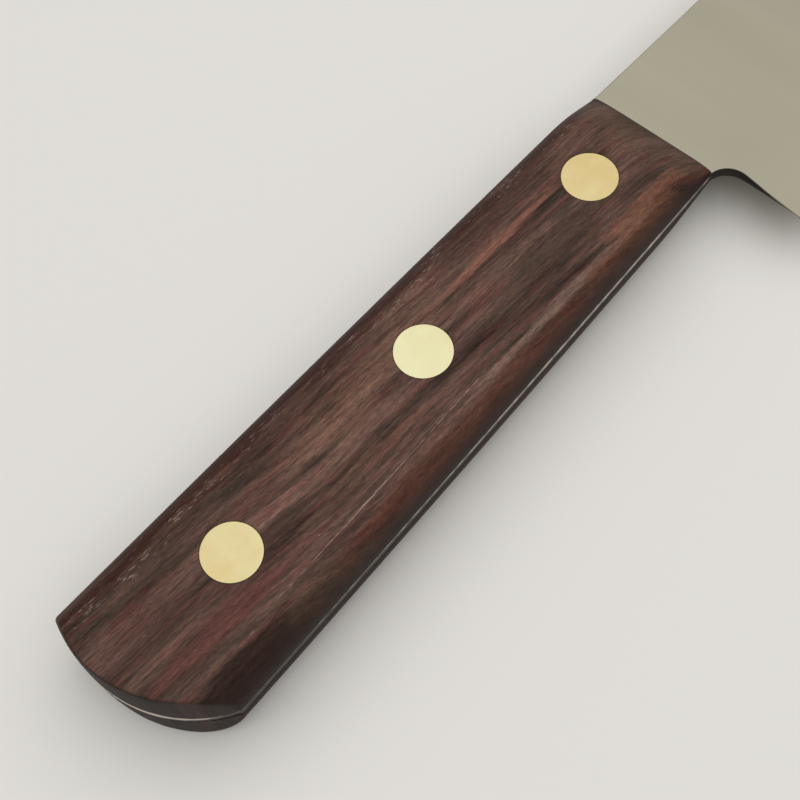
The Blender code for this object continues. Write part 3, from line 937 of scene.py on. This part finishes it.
# %% [markdown]
# The tang is drilled for the rivets, and so are the scales, so the drills are made once. A drill
# is an outline spun round its axis into a closed round body, and a Boolean takes it out. The
# holes stay hidden under the heads, but they are there, as in the real knife.

# %% Drills
TUBE_RADIUS = 2.5 * MM
FIT = 0.04 * MM
CUT_MARGIN = 5 * MM
RIVETS = ("front", "middle", "rear")
ROUND_STEPS = 96


def rivet_place(name):
    """A rivet's axis, halfway through the steel."""
    low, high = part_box(name + "_rivet_stud")
    return Vector(((low.x + high.x) / 2, (low.y + high.y) / 2, origin.z))


def turned(profile, steps=ROUND_STEPS):
    """Turn (radius, z) points, whose first and last lie on the axis, into a closed round body."""
    bm = bmesh.new()
    verts = [bm.verts.new((radius, 0, z)) for radius, z in profile]
    edges = [bm.edges.new(pair) for pair in zip(verts, verts[1:])]
    bmesh.ops.spin(bm, geom=verts + edges, axis=(0, 0, 1), cent=(0, 0, 0), angle=2 * math.pi, steps=steps)
    bmesh.ops.remove_doubles(bm, verts=bm.verts, dist=MM / 1000)
    bmesh.ops.recalc_face_normals(bm, faces=bm.faces)
    return bm


def bore_cutters():
    """A drill for each rivet's tube."""
    reach = TANG_HALF + CUT_MARGIN
    radius = TUBE_RADIUS + FIT
    profile = [(0, -reach), (radius, -reach), (radius, reach), (0, reach)]
    return [new_piece(name + "_drill", turned(profile), rivet_place(name)) for name in RIVETS]


# %% [markdown]
# Now the steel piece itself: the blank is ground by the tree, moved to its place and drilled. The
# thickness falls slowly at first and faster towards the tip, and the face is ground hollow enough
# that 0.24 mm is left above the bevel. The edge is 0.02 mm thick, which the eye takes as sharp.

# %% Blade and tang
blade = new_piece("blade_and_tang", steel_blank(columns), Vector((0, 0, 0)))
run_tree(blade, grind_steel, {
    "Tang Thickness": 2 * TANG_HALF,
    "Tip Thickness": 0.7 * MM,
    "Shoulder Thickness": 0.24 * MM,
    "Edge Thickness": 0.02 * MM,
    "Taper Power": 1.6,
    "Grind Power": 1.7,
    "Material": steel,
})
blade.data.transform(Matrix.Translation(origin))
cut(blade, bore_cutters())
shade(blade)
report(blade)
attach(blade, "root")
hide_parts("blade")

# %% [markdown]
# A scale is a block of wood glued to the tang and shaped with it. Across, its outer face is flat
# and rolls over to the tang at both long sides, in a slightly fuller curve than a circle. The
# lower round grows towards the butt, and its upper arris, crisp at the rear, is rubbed soft where
# the fingers hold it. At the front the wood ramps down to the blade. A box with bevelled edges
# would have the same round everywhere. Here the round is a rule for one cross-section, with its
# rows of points close together where it turns, and the scale is lofted from cross-sections.

# %% One cross-section of a scale
SCALE_INNER = TANG_HALF + 0.02 * MM
SCALE_THICKNESS = SCALE_OUTER - SCALE_INNER
SPINE_ROUND = 4.7 * MM
EDGE_ROUND_FRONT = 3.5 * MM
EDGE_ROUND_REAR = 4.7 * MM
ROUND_GROWTH_POWER = 6.0
ROUND_FULLNESS = 2.3
RIDGE_ANGLE = math.radians(9)
RAMP_LENGTH = 11.2 * MM
FRONT_LIP = 0.6 * MM
JOINT_EASE = 0.08 * MM
WEAR_FRONT = 1.8 * MM
WEAR_REAR = 0.12 * MM
WEAR_SPINE = 1.2 * MM
WEAR_STARTS = 0.12
WEAR_FADES = 0.3
ARRIS_WIDTH = 0.2 * MM
ARRIS_MIDDLE = -18 * MM
ARRIS_REACH = 42 * MM
STEEP_ROWS = (88, 84, 79, 73, 67, 60, 53, 46, 39, 32, 26, 21, 17.5)
NEAR_RIDGE = (0.13, 0.09, 0.055, 0.03, 0.012)
PAST_RIDGE = (0.08, 0.2, 0.4, 0.7, 1.1, 1.6, 2.3)
FACE_ROWS = 12
POWER = 2 / ROUND_FULLNESS
SINE_AT_RIDGE = math.sin(RIDGE_ANGLE) ** POWER
COSINE_AT_RIDGE = math.cos(RIDGE_ANGLE) ** POWER


def rise_at(inwards, width):
    """Height of the round-over above the joint, as a share, at a distance in from the side."""
    if inwards >= width:
        return 1.0
    sine = (1 - inwards * (1 - SINE_AT_RIDGE) / width) ** (1 / POWER)
    return (1 - sine ** 2) ** (POWER / 2) / COSINE_AT_RIDGE


def row_distances(width):
    """Distances in from the side at which the surface gets a row of points."""
    steep = []
    for angle in STEEP_ROWS:
        sine = math.sin(math.radians(angle)) ** POWER
        steep.append(width * (1 - sine) / (1 - SINE_AT_RIDGE))
    near = [width * (1 - share) for share in NEAR_RIDGE]
    return steep + near + [width] + [width + step * MM for step in PAST_RIDGE]


def edge_round(x):
    """Width of the lower round-over."""
    along = min(max((WOOD_FRONT - x) / (WOOD_FRONT - BUTT_X), 0.0), 1.0)
    return EDGE_ROUND_FRONT + (EDGE_ROUND_REAR - EDGE_ROUND_FRONT) * along ** ROUND_GROWTH_POWER


def arris_at(x, y):
    """How pale the lower ridge is painted, partly for wear and partly as a painted highlight: most near
    the middle rivet, and nothing off the ridge.
    """
    away = abs(y + half_height(x) - edge_round(x)) / ARRIS_WIDTH
    along = abs(x - ARRIS_MIDDLE) / ARRIS_REACH
    return max(0.0, 1 - away) * (1 - smooth_step(along))


def worn(inwards, width, wear):
    """How far rubbing has lowered the surface near the ridge: most on it, nothing at wear away."""
    away = abs(inwards - width)
    if away >= wear:
        return 0.0
    step = width * 0.02
    slope = (rise_at(width, width) - rise_at(width - step, width)) * SCALE_THICKNESS / step
    return slope * (wear - away) ** 2 / (4 * wear)


def cross_section(x):
    """(y, height above the joint) round the outside at x, from the spine side to the edge side."""
    along = min(max((WOOD_FRONT - x) / (WOOD_FRONT - BUTT_X), 0.0), 1.0)
    kept = smooth_step((along - WEAR_STARTS) / WEAR_FADES)
    wear = WEAR_REAR + (WEAR_FRONT - WEAR_REAR) * (1 - kept)
    on_ramp = max(0.0, (x - WOOD_FRONT + RAMP_LENGTH) / RAMP_LENGTH)
    thickness = SCALE_THICKNESS - (SCALE_THICKNESS - FRONT_LIP) * on_ramp ** 2
    half = half_height(x)
    sides = []
    for width, rub in ((SPINE_ROUND, WEAR_SPINE), (edge_round(x), wear)):
        points = [(JOINT_EASE, 0.0), (JOINT_EASE * 0.3, JOINT_EASE * 0.5)]
        for inwards in row_distances(width):
            height = thickness * rise_at(inwards, width)
            points.append((inwards, height - worn(inwards, width, rub) * thickness / SCALE_THICKNESS))
        sides.append(points)
    spine = [(half - inwards, height) for inwards, height in sides[0]]
    edge = [(inwards - half, height) for inwards, height in reversed(sides[1])]
    flat = [(y, thickness) for y in spread(spine[-1][0], edge[0][0], FACE_ROWS)[1:-1]]
    return spine + flat + edge


print(len(cross_section(0)), "points across a scale")

# %% [markdown]
# The butt end is cut square through wood and steel together and then crowned a little: the end
# stands furthest out at the tang, and the corner on the spine side is rounded more. Its rim is
# eased by shrinking the last few cross-sections along their own normals. The crown is kept as a
# number of its own, because the inner face, which lies flat on the tang, must not follow it.

# %% Loft a scale
END_EASE = 0.35 * MM
LOW_EASE = 0.2
END_RINGS = 4
LIP_EASE = 0.12 * MM
BUTT_CROWN = 0.3 * MM
SPINE_CORNER_CROWN = 1.3 * MM
BODY_STATIONS = 90
RAMP_STATIONS = 22
END_LEVELS = 5


def crown(y, height):
    """How far the end face falls back from the tang's end."""
    up = max(0.0, (y - BUTT_CREST) / (half_height(BUTT_X) - BUTT_CREST))
    return (BUTT_CROWN + SPINE_CORNER_CROWN * up ** 2) * (height / SCALE_THICKNESS) ** 2


def shrink(points, amount):
    """Move a cross-section in along its own normals, and keep it on the joint."""
    moved = []
    top = max(height for y, height in points)
    for i, (y, height) in enumerate(points):
        before = points[max(i - 1, 0)]
        after = points[min(i + 1, len(points) - 1)]
        normal = Vector((after[1] - before[1], before[0] - after[0])).normalized()
        share = amount * (LOW_EASE + (1 - LOW_EASE) * smooth_step(3 * height / top))
        moved.append((y - normal.x * share, max(height - abs(normal.y) * share, 0.0)))
    return moved


def stations():
    """Pairs of (share of the way from the butt to the ramp, how much the rim eases there)."""
    body = WOOD_FRONT - RAMP_LENGTH - BUTT_X
    rows = []
    for angle in spread(0, math.pi / 2, END_RINGS):
        rows.append((END_EASE * (1 - math.cos(angle)) / body, END_EASE * (1 - math.sin(angle))))
    rows += [(part, 0.0) for part in spread(rows[-1][0], 1, BODY_STATIONS)[1:]]
    return rows


def scale_columns():
    """Cross-sections as (x, y, height, crown) points, from the butt to the front."""
    ramp_x = WOOD_FRONT - RAMP_LENGTH
    columns = []
    for part, ease in stations():
        flat = []
        for i, (y, height) in enumerate(cross_section(BUTT_X + (ramp_x - BUTT_X) * part)):
            flat.append(cross_section(butt_x(y) * (1 - part) + ramp_x * part)[i])
        column = []
        for y, height in shrink(flat, ease):
            x = butt_x(y) * (1 - part) + ramp_x * part
            column.append((x, y, height, crown(y, height) * (1 - part)))
        columns.append(column)
    for x in spread(ramp_x, WOOD_FRONT - LIP_EASE, RAMP_STATIONS)[1:]:
        columns.append([(x, y, height, 0.0) for y, height in cross_section(x)])
    for angle in spread(math.pi / 2, 0, END_RINGS)[1:]:
        x = WOOD_FRONT - LIP_EASE * (1 - math.cos(angle))
        ring = shrink(cross_section(x), LIP_EASE * (1 - math.sin(angle)))
        columns.append([(x, y, height, 0.0) for y, height in ring])
    return columns


def on_joint(column):
    """A cross-section's points dropped onto the joint, none of them outside its ends or out of turn."""
    first, *rest = [(x, y) for x, y, height, back in column]
    last = rest[-1]
    dropped = [first]
    for x, y in rest:
        if y > dropped[-1][1]:
            x, y = dropped[-1]
        if y < last[1]:
            x, y = last
        dropped.append((x, y))
    return [(x, y, 0.0) for x, y in dropped]


def scale_mesh(side):
    """A closed scale: outer surface, inner face, butt end and front lip."""
    bm = bmesh.new()
    arris = bm.verts.layers.float.new("arris")
    low = bm.verts.layers.float.new("low")

    def row(points):
        return [bm.verts.new((x, y, side * (SCALE_INNER + height))) for x, y, height in points]

    columns = scale_columns()
    rows = [row(on_joint(column)) for column in columns]
    outer = [row([(x + back, y, height) for x, y, height, back in column]) for column in columns]
    for line, column in zip(outer, columns):
        top = max(height for x, y, height, back in column)
        for vert, (x, y, height, back) in zip(line, column):
            vert[arris] = arris_at(x, y)
            vert[low] = 1 - height / top
    butt = []
    for level in spread(0, 1, END_LEVELS)[1:-1]:
        ring = []
        for x, y, height, back in columns[0]:
            ring.append((x + crown(y, height * level), y, height * level))
        butt.append(row(ring))
    sheets = [rows, outer, [rows[0], *butt, outer[0]], [rows[-1], outer[-1]]]
    for sheet in sheets:
        for line, following in zip(sheet, sheet[1:]):
            for j in range(len(line) - 1):
                bm.faces.new((line[j], following[j], following[j + 1], line[j + 1]))
    bmesh.ops.remove_doubles(bm, verts=bm.verts, dist=MM / 1000)
    bmesh.ops.recalc_face_normals(bm, faces=bm.faces)
    return bm


# %% [markdown]
# Each rivet head sits in a seat bored into the wood, flush with its face. A seat's edge is broken
# by a hair, which the eye reads as a thin dark ring round the brass. Both scales come from one
# function, the left one as the mirror of the right, and their normals are worked out afresh
# after that, because a mirrored mesh is inside out.

# %% Cut the rivet seats
HEAD_THICKNESS = 1.6 * MM
SEAT_CHAMFER = 0.07 * MM


def seat_cutters():
    """The bore for a tube, and a seat with a broken edge for a head, for each rivet."""
    end = SCALE_OUTER + CUT_MARGIN
    floor = SCALE_OUTER - HEAD_THICKNESS - FIT
    wide = HEAD_RADIUS + FIT
    profile = [
        (0, end),
        (wide + SEAT_CHAMFER, end),
        (wide + SEAT_CHAMFER, SCALE_OUTER),
        (wide, SCALE_OUTER - SEAT_CHAMFER),
        (wide, floor),
        (TUBE_RADIUS + FIT, floor),
    ]
    profile += [(radius, -z) for radius, z in reversed(profile)]
    return [new_piece(name + "_seat", turned(profile), rivet_place(name)) for name in RIVETS]


for side, name in ((1, "right"), (-1, "left")):
    scale = new_piece(name + "_wood_scale", scale_mesh(side))
    cut(scale, seat_cutters())
    scale.data.materials.clear()
    scale.data.materials.append(wood)
    shade(scale)
    report(scale)
    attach(scale, "root")
    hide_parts(name + "_scale")

# %% [markdown]
# A rivet is turned on a lathe, and all six halves are turned the same way, so the lathe is a
# Geometry Nodes tree: it takes half an outline, sets copies of it round the axis as a grid, and
# closes the seam. Its inputs are the number of steps round, the place and the material.

# %% The lathe tree
def lathe_tree():
    """Turn an outline in the XZ plane round the Z axis, and put the result in place."""
    tree = bpy.data.node_groups.new("lathe", "GeometryNodeTree")
    tree.interface.new_socket("Geometry", in_out="INPUT", socket_type="NodeSocketGeometry")
    for name, kind in (("Steps", "Int"), ("Place", "Vector"), ("Material", "Material")):
        tree.interface.new_socket(name, in_out="INPUT", socket_type="NodeSocket" + kind)
    tree.interface.new_socket("Geometry", in_out="OUTPUT", socket_type="NodeSocketGeometry")
    given = add(tree, "NodeGroupInput").outputs
    count = add(tree, "GeometryNodeAttributeDomainSize", {"Geometry": given["Geometry"]})
    round_count = add(tree, "ShaderNodeMath", {0: given["Steps"], 1: 1.0}, operation="ADD")
    grid = add(tree, "GeometryNodeMeshGrid",
               {"Size X": 1.0, "Size Y": 1.0,
                "Vertices X": count.outputs["Point Count"], "Vertices Y": round_count})
    number = add(tree, "GeometryNodeInputIndex")
    ratio = add(tree, "ShaderNodeMath", {0: number, 1: round_count}, operation="DIVIDE")
    point = add(tree, "ShaderNodeMath", {0: ratio}, operation="FLOOR")
    step = add(tree, "ShaderNodeMath", {0: number, 1: round_count}, operation="MODULO")
    angle = add(tree, "ShaderNodeMath", {0: step, 1: 2 * math.pi}, operation="MULTIPLY")
    angle = add(tree, "ShaderNodeMath", {0: angle, 1: given["Steps"]}, operation="DIVIDE")
    position = add(tree, "GeometryNodeInputPosition")
    corner = add(tree, "GeometryNodeSampleIndex",
                 {"Geometry": given["Geometry"], "Value": position, "Index": point},
                 data_type="FLOAT_VECTOR")
    turned_point = add(tree, "ShaderNodeVectorRotate",
                       {"Vector": corner.outputs[0], "Axis": (0, 0, 1), "Angle": angle})
    placed = add(tree, "ShaderNodeVectorMath", {0: turned_point, 1: given["Place"]}, operation="ADD")
    shaped = add(tree, "GeometryNodeSetPosition", {"Geometry": grid.outputs["Mesh"], "Position": placed})
    closed = add(tree, "GeometryNodeMergeByDistance", {"Geometry": shaped, "Distance": MM / 1000})
    real = add(tree, "GeometryNodeRealizeInstances", {"Geometry": closed})
    painted = add(tree, "GeometryNodeSetMaterial", {"Geometry": real, "Material": given["Material"]})
    add(tree, "NodeGroupOutput", {"Geometry": painted})
    return tree


lathe = lathe_tree()
print("lathe tree:", len(lathe.nodes), "nodes")

# %% [markdown]
# A cutlery rivet has two halves. The stud is a head on a solid shank, the cap a head on a tube,
# and a press drives one into the other through the handle. Each head is then sanded flush, which
# leaves it almost flat: its middle stands 0.008 mm proud of its rim. Each half is one outline.

# %% Turn the rivets
STUD_RADIUS = 1.3 * MM
STUD_POINT = 0.4 * MM
RIM_EASE = 0.08 * MM
RIM_STEPS = 4
HEAD_CROWN = 0.008 * MM
HEAD_RINGS = (0.5, 0.8)


def head_profile(direction):
    """A flush head from its middle to under its rim, on the right (1) or on the left (-1)."""
    flat = HEAD_RADIUS - RIM_EASE
    points = [(0.0, SCALE_OUTER)]
    rings = [flat * share for share in HEAD_RINGS]
    for radius in (*rings, flat - RIM_EASE, flat - RIM_EASE / 4):
        points.append((radius, SCALE_OUTER - HEAD_CROWN * (radius / HEAD_RADIUS) ** 2))
    for angle in spread(0, math.pi / 2, RIM_STEPS):
        sink = HEAD_CROWN + RIM_EASE * (1 - math.cos(angle))
        points.append((flat + RIM_EASE * math.sin(angle), SCALE_OUTER - sink))
    points.append((HEAD_RADIUS, SCALE_OUTER - HEAD_THICKNESS))
    return [(radius, direction * z) for radius, z in points]


def stud_profile():
    """The right half: a head on a solid shank with a blunt point."""
    under = SCALE_OUTER - HEAD_THICKNESS
    end = -under + 2 * FIT
    point = [(STUD_RADIUS, end + STUD_POINT), (STUD_RADIUS - STUD_POINT, end), (0.0, end)]
    return head_profile(1) + [(STUD_RADIUS, under)] + point


def cap_profile():
    """The left half: a head on a tube that takes the shank."""
    under = SCALE_OUTER - HEAD_THICKNESS
    bore = STUD_RADIUS + FIT
    tube = [(TUBE_RADIUS, -under), (TUBE_RADIUS, under - FIT)]
    inside = [(bore, under - FIT), (bore, FIT - under), (0.0, FIT - under)]
    return head_profile(-1) + tube + inside


def turn_piece(name, profile, place):
    """Run the lathe on an outline."""
    bm = bmesh.new()
    verts = [bm.verts.new((radius, 0, z)) for radius, z in profile]
    for pair in zip(verts, verts[1:]):
        bm.edges.new(pair)
    piece = new_piece(name, bm, Vector((0, 0, 0)))
    run_tree(piece, lathe, {"Steps": ROUND_STEPS, "Place": tuple(place), "Material": brass})
    bm = bmesh.new()
    bm.from_mesh(piece.data)
    bmesh.ops.recalc_face_normals(bm, faces=bm.faces)
    bm.to_mesh(piece.data)
    bm.free()
    return piece


for name in RIVETS:
    for half, profile in (("stud", stud_profile()), ("cap", cap_profile())):
        rivet = turn_piece(name + "_brass_" + half, profile, rivet_place(name))
        shade(rivet)
        report(rivet)
        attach(rivet, "root")
        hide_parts(name + "_rivet_" + half)

# %% [markdown]
# The knife lies on its left side on plain pale card, under one wide soft lamp. The world is a
# dome that is bright overhead and dark at the horizon, which rounds off the wood's sides softly.
# The lamp and the dome together light it at a plain level, so a colour comes out about as it is
# written. What the eye, a metal or a glass sees in the distance is another thing: Light Path
# picks out those rays, and the world answers them with a soft grey backdrop, paler at the
# horizon. The card answers them with its own pale colour, whiter far out where the lamp reaches
# less, so that floor and backdrop meet without a line. It throws less light up at the knife than
# such a card would, so that the wood's undersides stay as deep as they are in a dark room.

# %% Floor and light
FLOOR_COLOUR = "#e2dfd9"
FAR_FLOOR_COLOUR = "#fdfdfc"
BOUNCE_COLOUR = "#8a8782"
FLOOR_REACH = 6.0
PALER_FROM = 0.7
PALEST_AT = 2.6
DOME_STRENGTH = 1.3
BACKDROP_STRENGTH = 0.36
HORIZON_STRENGTH = 0.62
HORIZON_RISE = 0.5
LAMP_PLACE = (0.2, 0.0, 1.2)
LAMP_AIM = (0.2, 0.0, 0.0)
LAMP_SIZE = 2.4
LAMP_POWER = 10.9


def plainly_seen(tree):
    """1 for a ray from the eye, a reflection or a look through glass, and 0 for scattered light."""
    ray = add(tree, "ShaderNodeLightPath")
    seen = ray.outputs["Is Camera Ray"]
    for name in ("Is Glossy Ray", "Is Transmission Ray"):
        seen = add(tree, "ShaderNodeMath", {0: seen, 1: ray.outputs[name]}, operation="MAXIMUM")
        seen = seen.outputs[0]
    return seen


def floor_material():
    """Matt card: an even pale ground without any gloss."""
    material, tree = new_material("pale_card")
    place = add(tree, "ShaderNodeTexCoord").outputs["Object"]
    metres_off = add(tree, "ShaderNodeVectorMath", {0: place}, operation="LENGTH").outputs["Value"]
    far = add(tree, "ShaderNodeMapRange",
              {"Value": metres_off, "From Min": PALER_FROM, "From Max": PALEST_AT})
    paint = add(tree, "ShaderNodeMix",
                {0: far, 6: linear(FLOOR_COLOUR), 7: linear(FAR_FLOOR_COLOUR)}, data_type="RGBA")
    colour = add(tree, "ShaderNodeMix",
                 {0: plainly_seen(tree), 6: linear(BOUNCE_COLOUR), 7: paint.outputs[2]},
                 data_type="RGBA")
    shader = add(tree, "ShaderNodeBsdfPrincipled", {"Base Color": colour.outputs[2], "Roughness": 0.8})
    add(tree, "ShaderNodeOutputMaterial", {"Surface": shader})
    return material


def lay_floor(size):
    """A flat floor under the knife."""
    bm = bmesh.new()
    bmesh.ops.create_grid(bm, x_segments=1, y_segments=1, size=size)
    floor = new_piece("floor", bm, Vector((0, 0, 0)))
    floor.data.materials.append(floor_material())
    floor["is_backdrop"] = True


def light_world(overhead, backdrop, horizon):
    """A dome that is brightest overhead, and the soft backdrop that is seen in its place."""
    world = bpy.data.worlds.new("studio")
    world.use_nodes = True
    tree = world.node_tree
    tree.nodes.clear()
    direction = add(tree, "ShaderNodeTexCoord").outputs["Generated"]
    rise = add(tree, "ShaderNodeSeparateXYZ", {0: direction}).outputs["Z"]
    above = add(tree, "ShaderNodeMath", {0: rise, 1: 0.0}, operation="MAXIMUM")
    fall = add(tree, "ShaderNodeMath", {0: above, 1: 2.0}, operation="POWER")
    strength = add(tree, "ShaderNodeMath", {0: fall, 1: overhead}, operation="MULTIPLY")
    dome = add(tree, "ShaderNodeBackground", {"Color": (1, 1, 1, 1), "Strength": strength})
    paler = add(tree, "ShaderNodeMapRange",
                {"Value": rise, "From Min": 0.0, "From Max": HORIZON_RISE,
                 "To Min": horizon, "To Max": backdrop})
    seen = add(tree, "ShaderNodeBackground", {"Color": (1, 1, 1, 1), "Strength": paler})
    both = add(tree, "ShaderNodeMixShader", {0: plainly_seen(tree), 1: dome, 2: seen})
    add(tree, "ShaderNodeOutputWorld", {"Surface": both})
    bpy.context.scene.world = world


def hang_lamp(name, place, aim, size, power):
    """A soft square lamp."""
    data = bpy.data.lights.new(name, "AREA")
    data.shape = "SQUARE"
    data.size = size
    data.energy = power
    lamp = bpy.data.objects.new(name, data)
    lamp.location = place
    lamp.rotation_euler = (Vector(aim) - Vector(place)).to_track_quat("-Z", "Y").to_euler()
    bpy.context.scene.collection.objects.link(lamp)


lay_floor(FLOOR_REACH)
light_world(DOME_STRENGTH, BACKDROP_STRENGTH, HORIZON_STRENGTH)
hang_lamp("overhead_softbox", LAMP_PLACE, LAMP_AIM, LAMP_SIZE, LAMP_POWER)

# %% [markdown]
# The camera hangs above the butt, off to the edge side, and looks down along the handle, so that
# the rivets come out as slightly flattened circles. How flat and how big each one is gave the
# camera's place and lens. The Standard view shows each colour as written, with no film curve.

# %% Camera
CAMERA_FROM_RIVET = Vector((-60.05, -57.49, 156.51)) * MM
CAMERA_RIGHT = Vector((0.6553, -0.7540, -0.0449))
CAMERA_UP = Vector((0.6919, 0.5754, 0.4361))
LENS = 61.30

camera_data = bpy.data.cameras.new("camera")
camera_data.lens = LENS
camera_data.sensor_width = 36
camera_data.clip_start = 10 * MM
camera = bpy.data.objects.new("camera", camera_data)
bpy.context.scene.collection.objects.link(camera)
head_top = Vector((origin.x, origin.y, head_high.z))
turn = Matrix((CAMERA_RIGHT, CAMERA_UP, CAMERA_RIGHT.cross(CAMERA_UP))).transposed()
camera.matrix_world = Matrix.LocRotScale(head_top + CAMERA_FROM_RIVET, turn.to_quaternion(), None)
bpy.context.scene.camera = camera
bpy.context.scene.view_settings.view_transform = "Standard"

# %% [markdown]
# Last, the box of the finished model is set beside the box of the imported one, because the finer
# surface has to stay inside the true size.

# %% Compare the boxes and finish
visual_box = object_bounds()
sizes = {"cad": [list(corner) for corner in cad_box], "visual": [list(corner) for corner in visual_box]}
for name, box in sizes.items():
    print(name, [[round(v / MM, 3) for v in corner] for corner in box])
